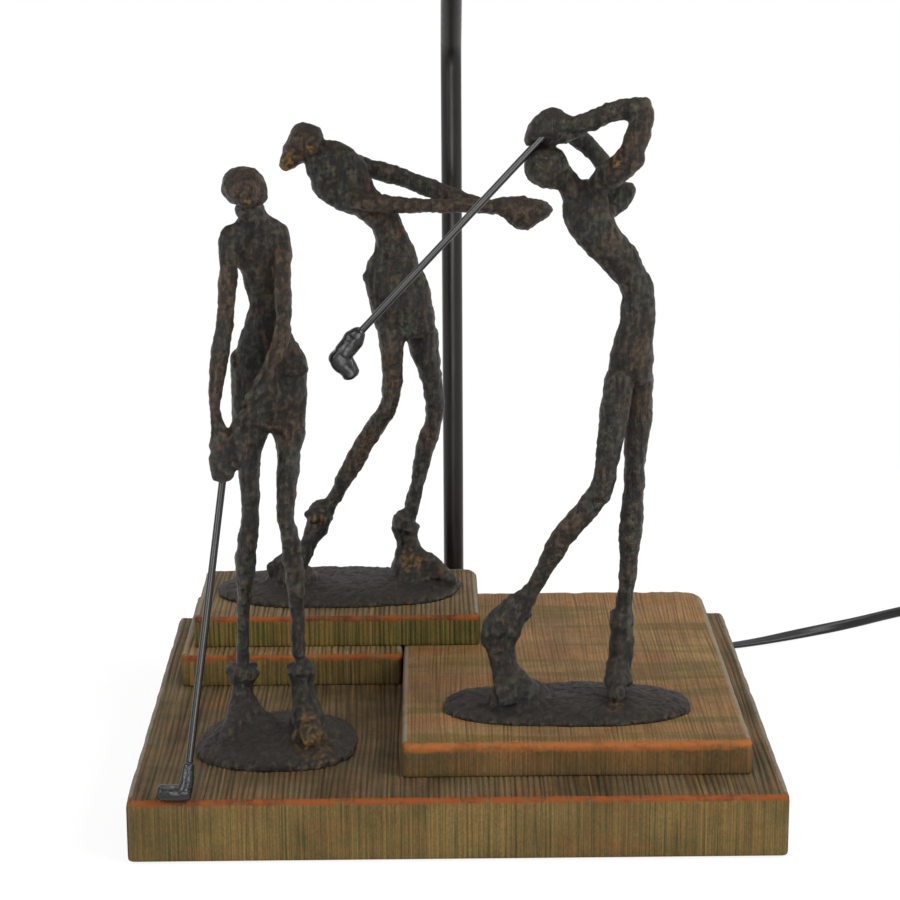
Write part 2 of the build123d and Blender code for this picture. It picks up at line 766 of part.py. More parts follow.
ADDRESS_BLADE = [
    (-17.6, -3.0),
    (-13.0, 0.6),
    (-3.0, -0.4),
    (1.5, 3.4),
    (3.4, -2.5),
    (2.4, -9.1),
    (-16.8, -9.1),
]
SWING_BLADE = [
    (-7.5, 0.5),
    (-10.0, -5.0),
    (-18.6, -11.2),
    (-19.0, -15.5),
    (-7.5, -29.5),
    (-2.0, -25.0),
    (-6.2, -14.5),
    (1.5, -3.5),
]

save(
    club_head(
        address_tip,
        address_way,
        Plane(
            origin=Vector(*address_tip) - Vector(0, BLADE_AHEAD, 0),
            x_dir=(1, 0, 0),
            z_dir=(0, -1, 0),
        ),
        ADDRESS_BLADE,
    ),
    "address_club_head",
)
save(
    club_head(
        swing_tip,
        swing_way,
        Plane(origin=swing_tip, x_dir=(1, 0, 0), z_dir=(0, -1, 0)),
        SWING_BLADE,
    ),
    "backswing_club_head",
)

# ---- Pole and its fixing --------------------------------------------------------------
pole_route = [
    (POLE_X, POLE_Y, POLE_FOOT_Z),
    (POLE_X, POLE_Y, POLE_BEND_Z),
    (POLE_X, LAMP_Y, UPPER_BEND_Z),
    (POLE_X, LAMP_Y, POLE_TOP_Z),
]

with BuildPart() as pole:
    with BuildLine() as pole_line:
        FilletPolyline(*pole_route, radius=POLE_BEND_R)
    with BuildSketch(Plane.XY.offset(POLE_FOOT_Z)):
        with Locations((POLE_X, POLE_Y)):
            Circle(POLE_R)
            Circle(POLE_BORE_R, mode=Mode.SUBTRACT)
    sweep(path=pole_line.wires()[0])
save(pole.part, "pole")


def nipple(x, y, bottom, length):
    """A short threaded tube, shown without its thread."""
    with BuildPart() as tube:
        with BuildSketch(Plane.XY.offset(bottom)):
            with Locations((x, y)):
                Circle(NIPPLE_R)
                Circle(NIPPLE_BORE_R, mode=Mode.SUBTRACT)
        extrude(amount=length)
    return tube.part


save(
    nipple(POLE_X, POLE_Y, NIPPLE_END_Z, POLE_FOOT_Z + NIPPLE_GRIP - NIPPLE_END_Z),
    "foot_nipple",
)
save(
    nipple(POLE_X, LAMP_Y, POLE_TOP_Z - NIPPLE_GRIP, NIPPLE_GRIP + SADDLE_T + 6.0),
    "top_nipple",
)

with BuildPart() as foot_washer:
    with BuildSketch(Plane.XY.offset(NUT_TOP_Z)):
        with Locations((POLE_X, POLE_Y)):
            Circle(WASHER_R)
            Circle(NIPPLE_R + HOLE_FIT, mode=Mode.SUBTRACT)
    extrude(amount=WASHER_T)
save(foot_washer.part, "foot_washer")

with BuildPart() as foot_nut:
    with BuildSketch(Plane.XY.offset(NUT_TOP_Z - NUT_T)):
        with Locations((POLE_X, POLE_Y)):
            RegularPolygon(NUT_FLATS / 2, 6, major_radius=False)
            Circle(NIPPLE_R + THREAD_FIT, mode=Mode.SUBTRACT)
    extrude(amount=NUT_T)
save(foot_nut.part, "foot_nut")

# ---- Cord -----------------------------------------------------------------------------
with BuildPart() as cord_bushing:
    with BuildSketch(Plane.XZ.offset(-BUSHING_FACE_Y)):
        with Locations((POLE_X, BUSHING_Z)):
            Circle(BUSHING_FLANGE_R)
    extrude(amount=BUSHING_FLANGE_T)
    with BuildSketch(Plane.XZ.offset(-SLAB_BACK_Y)):
        with Locations((POLE_X, BUSHING_Z)):
            Circle(BUSHING_R)
    extrude(amount=3.0)
    with BuildSketch(Plane.XZ.offset(-BUSHING_FACE_Y)):
        with Locations((POLE_X, BUSHING_Z)):
            Rectangle(CORD_T + 2 * BUSHING_SLOT_FIT, CORD_W + 2 * BUSHING_SLOT_FIT)
    extrude(amount=SLAB_BACK_Y, mode=Mode.SUBTRACT)
save(cord_bushing.part, "cord_bushing")


# The lead inside: out of the lampholder, down the pole and out through the bushing.
lead_route = [
    (POLE_X, BUSHING_FACE_Y, BUSHING_Z),
    (POLE_X, POLE_Y, BUSHING_Z),
    (POLE_X, POLE_Y, POLE_BEND_Z),
    (POLE_X, LAMP_Y, UPPER_BEND_Z),
    (POLE_X, LAMP_Y, CORE_Z - 1.0),
]
with BuildPart() as lead_inside:
    with BuildLine() as lead_line:
        FilletPolyline(*lead_route, radius=[INNER_BEND_R, POLE_BEND_R, POLE_BEND_R])
    with BuildSketch(Plane.XZ.offset(-BUSHING_FACE_Y)) as lead_face:
        with Locations((POLE_X, BUSHING_Z)):
            Rectangle(CORD_T, CORD_W)
        chamfer(lead_face.vertices(), CORD_CHAMFER)
    sweep(path=lead_line.wires()[0])
save(lead_inside.part, "lead_inside")


ABOVE = Location((0, 0, 10.0))  # a copy of a route up here keeps the cord on its edge


def turned(angle):
    """Unit direction in plan, for an angle in degrees from +X."""
    return Vector(math.cos(math.radians(angle)), math.sin(math.radians(angle)), 0)


# Two layers of half turns: in along the lower one, up in one half turn, out along the upper.
coil_rise = CORD_W + LAYER_GAP
coil_step = (CORD_T + COIL_GAP) / 2
coil_low_z = TIE_T + 0.1 + CORD_W / 2
half_turn_radii = [COIL_R - coil_step * k for k in range(COIL_HALF_TURNS)]
half_turn_radii.append(COIL_R - coil_step * COIL_HALF_TURNS)
half_turn_radii.extend(reversed(half_turn_radii[:COIL_HALF_TURNS]))
coil_way = turned(COIL_ANGLE - 90)
coil_inward = turned(COIL_ANGLE + 180)
coil_centre = Vector(COIL_X, COIL_Y, coil_low_z)
coil_entry = coil_centre - coil_inward * COIL_R


def coil_points(samples):
    """Points along each half turn of the coil, with the climb in the middle one."""
    spot, heading, side = coil_entry, coil_way, coil_inward
    spans = []
    for k, radius in enumerate(half_turn_radii):
        climb = coil_rise if k == COIL_HALF_TURNS else 0.0
        across = side * (2 * radius) + Vector(0, 0, climb)
        middle = spot + across / 2
        reach = heading * (across.length / 2)
        span = []
        for i in range(samples + 1):
            turn = math.pi * i / samples
            span.append(middle - across / 2 * math.cos(turn) + reach * math.sin(turn))
        spans.append(span)
        spot, heading, side = span[-1], -heading, -side
    return spans


coil_spans = coil_points(2)
coil_exit = coil_spans[-1][-1]
coil_lead_in = coil_entry - coil_way * CORD_W
coil_tail_out = coil_exit - coil_way * CORD_W
with BuildPart() as cord_coil:
    with BuildLine() as coil_line:
        Line(coil_lead_in, coil_entry)
        for start, middle, end in coil_spans:
            ThreePointArc(start, middle, end)
        Line(coil_exit, coil_tail_out)
    with BuildSketch(
        Plane(origin=coil_lead_in, x_dir=coil_way.cross(Vector(0, 0, 1)), z_dir=coil_way)
    ) as coil_face:
        Rectangle(CORD_T, CORD_W)
        chamfer(coil_face.vertices(), CORD_CHAMFER)
    coil_path = coil_line.wires()[0]
    sweep(path=coil_path, binormal=coil_path.moved(ABOVE))
save(cord_coil.part, "cord_coil")
coil_length = sum(math.pi * r for r in half_turn_radii) + 2 * CORD_W

# The free run, from the bushing to the coil: (x, y, z) of its corners.
run_corners = [
    (POLE_X, BUSHING_FACE_Y, BUSHING_Z),
    *((POLE_X + right, SLAB_BACK_Y + behind, z) for right, behind, z in RUN_FROM_POLE),
    *((SLAB_W / 2 + right, SLAB_BACK_Y + behind, z) for right, behind, z in RUN_FROM_SIDE),
    tuple(coil_lead_in - coil_way * RUN_LAST),
    tuple(coil_lead_in),
]


def bend_radii(corners):
    """The largest arc that each corner's two runs allow, and the route's length."""
    points = [Vector(*c) for c in corners]
    radii = []
    length = sum((b - a).length for a, b in zip(points, points[1:]))
    for before, here, after in zip(points, points[1:], points[2:]):
        turn = math.radians((here - before).get_angle(after - here))
        shorter = min((here - before).length, (after - here).length)
        radius = 0.45 * shorter / math.tan(turn / 2)
        radii.append(radius)
        length -= radius * (2 * math.tan(turn / 2) - turn)
    return radii, length


def free_cord(name, corners):
    """One free stretch: straight runs joined by arcs as large as the runs allow."""
    radii, length = bend_radii(corners)
    way = (Vector(*corners[1]) - Vector(*corners[0])).normalized()
    with BuildPart() as cord:
        with BuildLine() as line:
            FilletPolyline(*corners, radius=radii)
        with BuildSketch(
            Plane(origin=corners[0], x_dir=way.cross(Vector(0, 0, 1)), z_dir=way)
        ) as face:
            Rectangle(CORD_T, CORD_W)
            chamfer(face.vertices(), CORD_CHAMFER)
        path = line.wires()[0]
        sweep(path=path, binormal=path.moved(ABOVE))
    section = CORD_T * CORD_W - 2 * CORD_CHAMFER**2
    print(f"{name}: length {length:.1f}, volume {cord.part.volume / (section * length):.3f} of plain")
    print(f"{name}: radii {[round(r) for r in radii]}")
    save(cord.part, name)
    return length


run_length = free_cord("cord_run", run_corners)

# The tail, from the coil to the plug, which lies flat with its prongs level.
plug_z = PLUG_H / 2
tail_way = -coil_way
tail_first = coil_tail_out + tail_way * TAIL_FIRST
tail_corners = [
    tuple(coil_tail_out),
    tuple(tail_first),
    *((tail_first.X - left, tail_first.Y - forward, plug_z) for left, forward in TAIL_BENDS),
]
tail_length = free_cord("cord_tail", tail_corners)
print(f"cord from bushing to plug {run_length + coil_length + tail_length:.0f}")

fine = [p for span in coil_points(40) for p in span[:-1]]
near = 60  # skip the tube's own next three quarters of a turn
gaps = [
    (abs(fine[a].Z - fine[b].Z), math.hypot(fine[a].X - fine[b].X, fine[a].Y - fine[b].Y))
    for a in range(0, len(fine), 3)
    for b in range(a + near, len(fine))
    if (fine[a] - fine[b]).length < 2 * CORD_W
]
least = min(max(rise - CORD_W, across - CORD_T) for rise, across in gaps)
print(f"coil: loops {len(half_turn_radii) / 2}, length {coil_length:.0f}, least gap {least:.2f}")

tie_way = turned(COIL_ANGLE - 90)
tie_inner = COIL_R - coil_step * (COIL_HALF_TURNS - 1) - CORD_T / 2 - TIE_FIT
tie_outer = COIL_R + CORD_T / 2 + TIE_FIT
tie_height = CORD_W + coil_rise + 0.1
with BuildPart() as cord_tie:
    with BuildSketch(
        Plane(
            origin=coil_centre + tie_way * (tie_inner + tie_outer) / 2
            + Vector(0, 0, coil_rise / 2)
            + coil_inward * (-TIE_W / 2),
            x_dir=tie_way,
            z_dir=coil_inward,
        )
    ):
        Rectangle(tie_outer - tie_inner + 2 * TIE_T, tie_height + 2 * TIE_T + 0.1)
        Rectangle(tie_outer - tie_inner, tie_height + 0.1, mode=Mode.SUBTRACT)
    extrude(amount=TIE_W)
save(cord_tie.part, "cord_tie")

plug_start = Vector(*tail_corners[-1])
plug_way = (plug_start - Vector(*tail_corners[-2])).normalized()
plug_side = Vector(0, 0, 1).cross(plug_way)


def plug_plane(along):
    """A plane across the plug, a distance from where the cord enters it."""
    return Plane(origin=plug_start + plug_way * along, x_dir=plug_side, z_dir=plug_way)


with BuildPart() as plug_body:
    for along, width, height in (
        (0.0, PLUG_NECK_W, PLUG_NECK_H),
        (PLUG_NECK_L, PLUG_NECK_W * 1.35, PLUG_NECK_H * 1.1),
        (PLUG_NECK_L + PLUG_BODY_L * 0.3, PLUG_W, PLUG_H),
        (PLUG_L, PLUG_W, PLUG_H),
    ):
        with BuildSketch(plug_plane(along)):
            RectangleRounded(width, height, PLUG_FACE_R)
    loft(ruled=True)
    for side, width in zip((-1, 1), PRONG_W):
        with BuildSketch(plug_plane(PLUG_L - PRONG_ROOT)):
            with Locations((side * BLADE_SPACING / 2, 0)):
                Rectangle(PRONG_T, width)
        extrude(amount=PRONG_ROOT, mode=Mode.SUBTRACT)
save(plug_body.part, "plug_body")

for side, width, name in zip((-1, 1), PRONG_W, ("plug_prong_line", "plug_prong_neutral")):
    with BuildPart() as prong:
        with BuildSketch(plug_plane(PLUG_L - PRONG_ROOT)):
            with Locations((side * BLADE_SPACING / 2, 0)):
                Rectangle(PRONG_T, width)
        extrude(amount=PRONG_ROOT + PRONG_L)
        tip = prong.faces().sort_by(Axis(tuple(plug_start), tuple(plug_way)))[-1]
        chamfer(tip.edges().sort_by(SortBy.LENGTH)[-2:], PRONG_T * 0.3)
        eye = plug_start + plug_way * (PLUG_L + PRONG_L - PRONG_EYE)
        with BuildSketch(Plane(origin=eye, z_dir=plug_side)):
            Circle(PRONG_T)
        extrude(amount=BLADE_SPACING, both=True, mode=Mode.SUBTRACT)
    save(prong.part, name)

# ---- Lampholder -----------------------------------------------------------------------
LAMP = Axis((POLE_X, LAMP_Y, 0), (0, 0, 1))


def turned_shell(outline):
    """Revolve an outline of (radius, height) about the lampholder's axis."""
    plane = Plane(origin=(POLE_X, LAMP_Y, 0), x_dir=(1, 0, 0), z_dir=(0, -1, 0))
    with BuildPart() as form:
        with BuildSketch(plane):
            with BuildLine():
                Polyline(*outline, close=True)
            make_face()
        revolve(axis=LAMP)
    return form.part


knob_way = (0, -1, 0)  # towards the viewer, square to the harp
knob_hole = rod(
    (POLE_X, LAMP_Y - CORE_R + KNOB_SOCKET, KNOB_AXIS_Z),
    (POLE_X, LAMP_Y - SHELL_R - KNOB_STAND, KNOB_AXIS_Z),
    KNOB_SHAFT_R + RUN_FIT,
)

with BuildPart() as lampholder_cap:
    add(
        turned_shell(
            [
                (NIPPLE_R + THREAD_FIT, CAP_Z),
                (CAP_NECK_R, CAP_Z),
                (CAP_NECK_R, CAP_Z + 5.0),
                (CAP_R, CAP_RIM_Z - 7.0),
                (CAP_R, CAP_RIM_Z),
                (CAP_R - SHEET_T, CAP_RIM_Z),
                (CAP_R - SHEET_T, CAP_RIM_Z - 6.6),
                (NIPPLE_R + 1.0, CAP_Z + 6.0),
                (NIPPLE_R + THREAD_FIT, CAP_Z + 6.0),
            ]
        )
    )
save(lampholder_cap.part, "lampholder_cap")

shell_outline = [
    (SHELL_R - SHEET_T, SHELL_Z),
    (SHELL_R, SHELL_Z),
    (SHELL_R, SHELL_Z + SHELL_H - 2.0),
    (SHELL_R + 0.8, SHELL_Z + SHELL_H - 1.0),
    (SHELL_R, SHELL_Z + SHELL_H),
    (SHELL_R - SHEET_T, SHELL_Z + SHELL_H),
]
shell_blank = turned_shell(shell_outline)
with BuildPart() as lampholder_shell:
    add(shell_blank)
    add(knob_hole, mode=Mode.SUBTRACT)
save(lampholder_shell.part, "lampholder_shell")

liner_r = SHELL_R - SHEET_T - LINER_GAP
liner_z = CAP_RIM_Z + 0.3
liner_blank = turned_shell(
    [
        (liner_r - LINER_T, liner_z),
        (liner_r, liner_z),
        (liner_r, SHELL_Z + SHELL_H),
        (liner_r - LINER_T, SHELL_Z + SHELL_H),
    ]
)
with BuildPart() as lampholder_liner:
    add(liner_blank)
    add(knob_hole, mode=Mode.SUBTRACT)
save(lampholder_liner.part, "lampholder_liner")

core_blank = turned_shell([(0, CORE_Z), (CORE_R, CORE_Z), (CORE_R, CORE_TOP_Z), (0, CORE_TOP_Z)])
with BuildPart() as lampholder_core:
    add(core_blank)
    add(knob_hole, mode=Mode.SUBTRACT)
save(lampholder_core.part, "lampholder_core")

save(
    turned_shell(
        [
            (CONTACT_R + 3.0, CORE_TOP_Z),
            (BULB_THREAD_R + SCREW_SHELL_T, CORE_TOP_Z),
            (BULB_THREAD_R + SCREW_SHELL_T, CORE_TOP_Z + SCREW_SHELL_H),
            (BULB_THREAD_R, CORE_TOP_Z + SCREW_SHELL_H),
            (BULB_THREAD_R, CORE_TOP_Z + SCREW_SHELL_T),
            (CONTACT_R + 3.0, CORE_TOP_Z + SCREW_SHELL_T),
        ]
    ),
    "screw_shell",
)
save(
    turned_shell(
        [
            (0, CORE_TOP_Z),
            (CONTACT_R, CORE_TOP_Z),
            (CONTACT_R - CONTACT_T, CORE_TOP_Z + CONTACT_T),
            (0, CORE_TOP_Z + CONTACT_T),
        ]
    ),
    "centre_contact",
)

knob_shaft_l = KNOB_SOCKET - KNOB_END_GAP + SHELL_R - CORE_R + KNOB_STAND
with BuildPart() as switch_knob:
    with BuildSketch(
        Plane(origin=(POLE_X, LAMP_Y - SHELL_R - KNOB_STAND, KNOB_AXIS_Z), z_dir=knob_way)
    ):
        Circle(KNOB_R)
        with PolarLocations(KNOB_R + 0.6, KNOB_GRIPS):
            Circle(1.1, mode=Mode.SUBTRACT)
    extrude(amount=KNOB_L)
    with BuildSketch(
        Plane(origin=(POLE_X, LAMP_Y - SHELL_R - KNOB_STAND, KNOB_AXIS_Z), z_dir=(0, 1, 0))
    ):
        Circle(KNOB_SHAFT_R)
    extrude(amount=knob_shaft_l)
save(switch_knob.part, "switch_knob")

# ---- Harp -----------------------------------------------------------------------------
with BuildPart() as harp_saddle:
    with BuildSketch(Plane.XY.offset(SADDLE_Z)):
        with Locations((POLE_X, LAMP_Y)):
            Rectangle(SADDLE_SPAN + SADDLE_W, SADDLE_W)
            Circle(NIPPLE_R + HOLE_FIT, mode=Mode.SUBTRACT)
    extrude(amount=SADDLE_T)
    with BuildSketch(Plane.XY.offset(SADDLE_Z)):
        with Locations((POLE_X - HARP_LEG_X, LAMP_Y), (POLE_X + HARP_LEG_X, LAMP_Y)):
            Circle(HARP_WIRE_R + 0.9)
    extrude(amount=SADDLE_EAR)
    with BuildSketch(Plane.XY.offset(SADDLE_Z + 4.0)):
        with Locations((POLE_X - HARP_LEG_X, LAMP_Y), (POLE_X + HARP_LEG_X, LAMP_Y)):
            Circle(HARP_WIRE_R + CLUB_FIT)
    extrude(amount=SADDLE_EAR, mode=Mode.SUBTRACT)
save(harp_saddle.part, "harp_saddle")

harp_foot_z = SADDLE_Z + 4.0
harp_shoulder_z = HARP_TOP_Z - 20.0
with BuildPart() as harp:
    with BuildLine() as harp_line:
        FilletPolyline(
            (POLE_X - HARP_LEG_X, LAMP_Y, harp_foot_z),
            (POLE_X - HARP_LEG_X, LAMP_Y, SADDLE_Z + HARP_LEG),
            (POLE_X - HARP_BULGE / 2, LAMP_Y, SADDLE_Z + HARP_LEG + 45.0),
            (POLE_X - HARP_BULGE / 2, LAMP_Y, harp_shoulder_z - 20.0),
            (POLE_X - 16.0, LAMP_Y, HARP_TOP_Z - HARP_WIRE_R),
            (POLE_X + 16.0, LAMP_Y, HARP_TOP_Z - HARP_WIRE_R),
            (POLE_X + HARP_BULGE / 2, LAMP_Y, harp_shoulder_z - 20.0),
            (POLE_X + HARP_BULGE / 2, LAMP_Y, SADDLE_Z + HARP_LEG + 45.0),
            (POLE_X + HARP_LEG_X, LAMP_Y, SADDLE_Z + HARP_LEG),
            (POLE_X + HARP_LEG_X, LAMP_Y, harp_foot_z),
            radius=[14.0, 40.0, 30.0, 14.0, 14.0, 30.0, 40.0, 14.0],
        )
    with BuildSketch(Plane.XY.offset(harp_foot_z)):
        with Locations((POLE_X - HARP_LEG_X, LAMP_Y)):
            Circle(HARP_WIRE_R)
    sweep(path=harp_line.wires()[0])
    with BuildSketch(Plane.XY.offset(HARP_TOP_Z - HARP_WIRE_R)):
        with Locations((POLE_X, LAMP_Y)):
            Circle(SEAT_R)
    extrude(amount=SEAT_T + HARP_WIRE_R)
    with BuildSketch(Plane.XY.offset(SEAT_TOP_Z)):
        with Locations((POLE_X, LAMP_Y)):
            Circle(STUD_R)
    extrude(amount=STUD_L)
save(harp.part, "harp")

sleeve_bore = HARP_WIRE_R + 0.9 + 0.3
for side, name in ((-1, "harp_sleeve_left"), (1, "harp_sleeve_right")):
    with BuildPart() as harp_sleeve:
        with BuildSketch(Plane.XY.offset(SADDLE_Z + SADDLE_T + MOVE_GAP)):
            with Locations((POLE_X + side * HARP_LEG_X, LAMP_Y)):
                Circle(sleeve_bore + SLEEVE_WALL)
                Circle(sleeve_bore, mode=Mode.SUBTRACT)
        extrude(amount=SLEEVE_L)
    save(harp_sleeve.part, name)

# ---- Shade and finial -----------------------------------------------------------------
ring_inset = SHADE_T + RING_R
shade_slope = (SHADE_BOTTOM_R - SHADE_TOP_R) / SHADE_H
save(
    turned_shell(
        [
            (SHADE_BOTTOM_R, SHADE_BOTTOM_Z),
            (SHADE_TOP_R, SHADE_TOP_Z),
            (SHADE_TOP_R - SHADE_T, SHADE_TOP_Z),
            (SHADE_BOTTOM_R - SHADE_T, SHADE_BOTTOM_Z),
        ]
    ),
    "shade_skin",
)


def wire_ring(radius, height):
    """A flat steel ring that the shade's skin is glued to."""
    return turned_shell(
        [
            (radius - RING_R, height - RING_R),
            (radius, height - RING_R),
            (radius, height + RING_R),
            (radius - RING_R, height + RING_R),
        ]
    )


bottom_ring_z = SHADE_BOTTOM_Z + RING_R
top_ring_z = SHADE_TOP_Z - RING_R
bottom_ring_r = SHADE_BOTTOM_R - SHADE_T - shade_slope * 2 * RING_R - 0.1
top_ring_r = SHADE_TOP_R - SHADE_T - 0.1
save(wire_ring(bottom_ring_r, bottom_ring_z), "shade_bottom_ring")

top_ring = wire_ring(top_ring_r, top_ring_z)
with BuildPart() as shade_spider:
    add(top_ring)
    with BuildSketch(Plane.XY.offset(HUB_Z)):
        with Locations((POLE_X, LAMP_Y)):
            Circle(HUB_R)
            Circle(STUD_R + RUN_FIT, mode=Mode.SUBTRACT)
    extrude(amount=HUB_T)
    for i in range(SPIDER_ARMS):
        way = turned(90 + 360 * i / SPIDER_ARMS)
        start = Vector(POLE_X, LAMP_Y, HUB_Z + HUB_T / 2) + way * (HUB_R - 1.0)
        end = Vector(POLE_X, LAMP_Y, top_ring_z) + way * (top_ring_r - RING_R / 2)
        run = end - start
        with BuildSketch(Plane(origin=start, z_dir=run)):
            Circle(HUB_T / 2 * 0.9)
        extrude(amount=run.length)
save(shade_spider.part, "shade_spider")

finial_bore = STUD_R + RUN_FIT
with BuildPart() as finial:
    add(
        turned_shell(
            [
                (finial_bore, FINIAL_Z),
                (FINIAL_R * 0.8, FINIAL_Z),
                (FINIAL_R * 0.8, FINIAL_Z + 2.0),
                (FINIAL_R * 0.5, FINIAL_Z + 4.0),
                (FINIAL_R * 0.55, FINIAL_Z + 7.0),
                (FINIAL_R, FINIAL_Z + 14.0),
                (FINIAL_R * 0.85, FINIAL_Z + 20.0),
                (FINIAL_R * 0.3, FINIAL_Z + FINIAL_H),
                (0, FINIAL_Z + FINIAL_H),
                (0, SEAT_TOP_Z + STUD_L + 0.5),
                (finial_bore, SEAT_TOP_Z + STUD_L + 0.5),
            ]
        )
    )
save(finial.part, "finial")
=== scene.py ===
"""Looks for a table lamp with three cast bronze golfers on a stepped base of combed boards.

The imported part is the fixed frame. This file adds the camera, the light, the finishes and the
pieces whose surface a plain solid can't show: combed boards, cast figures, iron heads, the flat
cord with its coil and plug, and the shade's trims. Lengths are in millimetres until a mesh is made.
"""

import logging
import math
from dataclasses import dataclass, field
from enum import Enum
from typing import Optional, Sequence, Union

import bmesh
import bpy
from mathutils import Matrix, Vector, noise


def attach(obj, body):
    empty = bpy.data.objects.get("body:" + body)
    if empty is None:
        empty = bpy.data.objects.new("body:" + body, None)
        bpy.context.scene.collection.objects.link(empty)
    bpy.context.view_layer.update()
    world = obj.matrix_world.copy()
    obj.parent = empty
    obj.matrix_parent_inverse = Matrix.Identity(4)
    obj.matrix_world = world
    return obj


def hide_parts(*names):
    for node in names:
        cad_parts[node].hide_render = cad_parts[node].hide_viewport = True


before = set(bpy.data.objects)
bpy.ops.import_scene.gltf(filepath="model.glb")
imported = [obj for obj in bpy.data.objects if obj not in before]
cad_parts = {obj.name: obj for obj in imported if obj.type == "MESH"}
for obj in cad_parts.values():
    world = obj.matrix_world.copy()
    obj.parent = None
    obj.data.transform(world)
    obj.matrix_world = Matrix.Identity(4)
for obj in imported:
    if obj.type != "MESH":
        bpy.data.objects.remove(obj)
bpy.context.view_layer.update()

LOG = logging.getLogger("lamp")
MM = 0.001

Point = tuple[float, float, float]
Station = tuple[float, float, float, float, float]
Forms = dict[str, tuple[Station, ...]]
Tree = bpy.types.NodeTree
Output = bpy.types.NodeSocket
Socket = Union[float, tuple, Output]
Mesh = bmesh.types.BMesh
Edges = list[bmesh.types.BMEdge]
Ways = dict[bmesh.types.BMVert, tuple[float, float, Vector]]
Piece = bpy.types.Object


# ---- Small tools -----------------------------------------------------------------------
class Body(Enum):
    """The CAD bodies that finished pieces move with."""

    LAMP = "lamp"
    SHADE = "shade"


def linear(hex_code: str) -> tuple[float, float, float, float]:
    """Turn an sRGB colour into the linear values that a shader socket takes.

    Args:
        hex_code: Six hex digits with a leading hash.

    Returns:
        Red, green, blue and an alpha of one.
    """
    channels = [int(hex_code[i : i + 2], 16) / 255 for i in (1, 3, 5)]
    r, g, b = ((c / 12.92) if c <= 0.04045 else ((c + 0.055) / 1.055) ** 2.4 for c in channels)
    return (r, g, b, 1.0)


def add_node(
    tree: Tree,
    kind: str,
    inputs: Optional[dict[Union[str, int], Socket]] = None,
    **settings: object,
) -> bpy.types.Node:
    """Add one shader node with its settings, values and links.

    Args:
        tree: Node tree that gets the node.
        kind: Node type without its ShaderNode prefix.
        inputs: Values for sockets, or outputs to link to them, by name or number.
        settings: Attributes of the node itself.

    Returns:
        The new node.
    """
    made = tree.nodes.new(f"ShaderNode{kind}")
    for key, value in settings.items():
        setattr(made, key, value)
    for key, value in (inputs or {}).items():
        if isinstance(value, Output):
            tree.links.new(value, made.inputs[key])
        else:
            made.inputs[key].default_value = value
    return made


def ramp(node: bpy.types.Node, stops: Sequence[tuple[float, tuple]]) -> Output:
    """Give a colour ramp its stops.

    Args:
        node: A colour ramp node.
        stops: Places from 0 to 1, each with a linear colour.

    Returns:
        The ramp's colour output.
    """
    elements = node.color_ramp.elements
    while len(elements) < len(stops):
        elements.new(0.5)
    for element, (place, colour) in zip(elements, stops):
        element.position = place
        element.color = colour
    return node.outputs[0]


def largest(tree: Tree, values: Sequence[Socket]) -> Output:
    """The largest of several values, such as the kinds of ray that are to see white.

    Args:
        tree: Node tree that holds them.
        values: Two or more sockets or numbers.

    Returns:
        The largest value.
    """
    found = values[0]
    for value in values[1:]:
        found = add_node(tree, "Math", {0: found, 1: value}, operation="MAXIMUM").outputs[0]
    return found


def grey(value: float) -> tuple[float, float, float, float]:
    """A linear grey for ramps that steer something other than colour."""
    return (value, value, value, 1.0)


def smoothstep(low: float, high: float, value: float) -> float:
    """A soft step from 0 at low to 1 at high."""
    t = min(1.0, max(0.0, (value - low) / (high - low)))
    return t * t * (3 - 2 * t)


def placed(name: str, data: bpy.types.ID) -> Piece:
    """A new object in the scene that shows the given data."""
    made = bpy.data.objects.new(name, data)
    bpy.context.scene.collection.objects.link(made)
    return made


def finished_piece(
    name: str, bm: Mesh, material: bpy.types.Material, body: Body = Body.LAMP,
    replaces: Sequence[str] = (),
) -> Piece:
    """Turn a bmesh in millimetres into a piece at the origin that rides on its body.

    Args:
        name: Name of the piece.
        bm: The shape, in millimetres in the lamp's own frame. It is freed.
        material: Its finish.
        body: CAD body that the piece moves with.
        replaces: CAD nodes that it stands for.

    Returns:
        The linked object.
    """
    bmesh.ops.scale(bm, vec=(MM, MM, MM), verts=bm.verts)
    mesh = bpy.data.meshes.new(name)
    bm.to_mesh(mesh)
    bm.free()
    mesh.materials.append(material)
    mesh.shade_smooth()
    piece = placed(name, mesh)
    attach(piece, body.value)
    if replaces:
        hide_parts(*replaces)
    LOG.info("%s: %d faces", name, len(mesh.polygons))
    return piece


def edges_of(verts: Sequence[bmesh.types.BMVert]) -> Edges:
    """All edges that meet the given points."""
    return list({edge for vert in verts for edge in vert.link_edges})


def ring(bm: Mesh, place: Matrix, segments: int) -> Edges:
    """Add a circle of radius one, placed by a matrix that may also stretch it.

    Args:
        bm: Mesh that gets it.
        place: Its matrix.
        segments: Number of sides.

    Returns:
        Its edges.
    """
    made = bmesh.ops.create_circle(bm, cap_ends=False, segments=segments, radius=1.0, matrix=place)
    return edges_of(made["verts"])


def soft_square(
    bm: Mesh, place: Matrix, half: tuple[float, float], power: float, segments: int,
) -> Edges:
    """Add a ring between an oval and a rectangle, the section of moulded plastic.

    Args:
        bm: Mesh that gets it.
        place: Its frame: across, up and along.
        half: Half its width and half its height.
        power: One for an oval, and towards nothing for a rectangle.
        segments: Number of sides.

    Returns:
        Its edges.
    """
    made = bmesh.ops.create_circle(bm, cap_ends=False, segments=segments, radius=1.0)["verts"]
    for vert in made:
        x = math.copysign(abs(vert.co.x) ** power, vert.co.x)
        y = math.copysign(abs(vert.co.y) ** power, vert.co.y)
        vert.co = Vector((x * half[0], y * half[1], 0.0))
    bmesh.ops.transform(bm, matrix=place, verts=made)
    return edges_of(made)


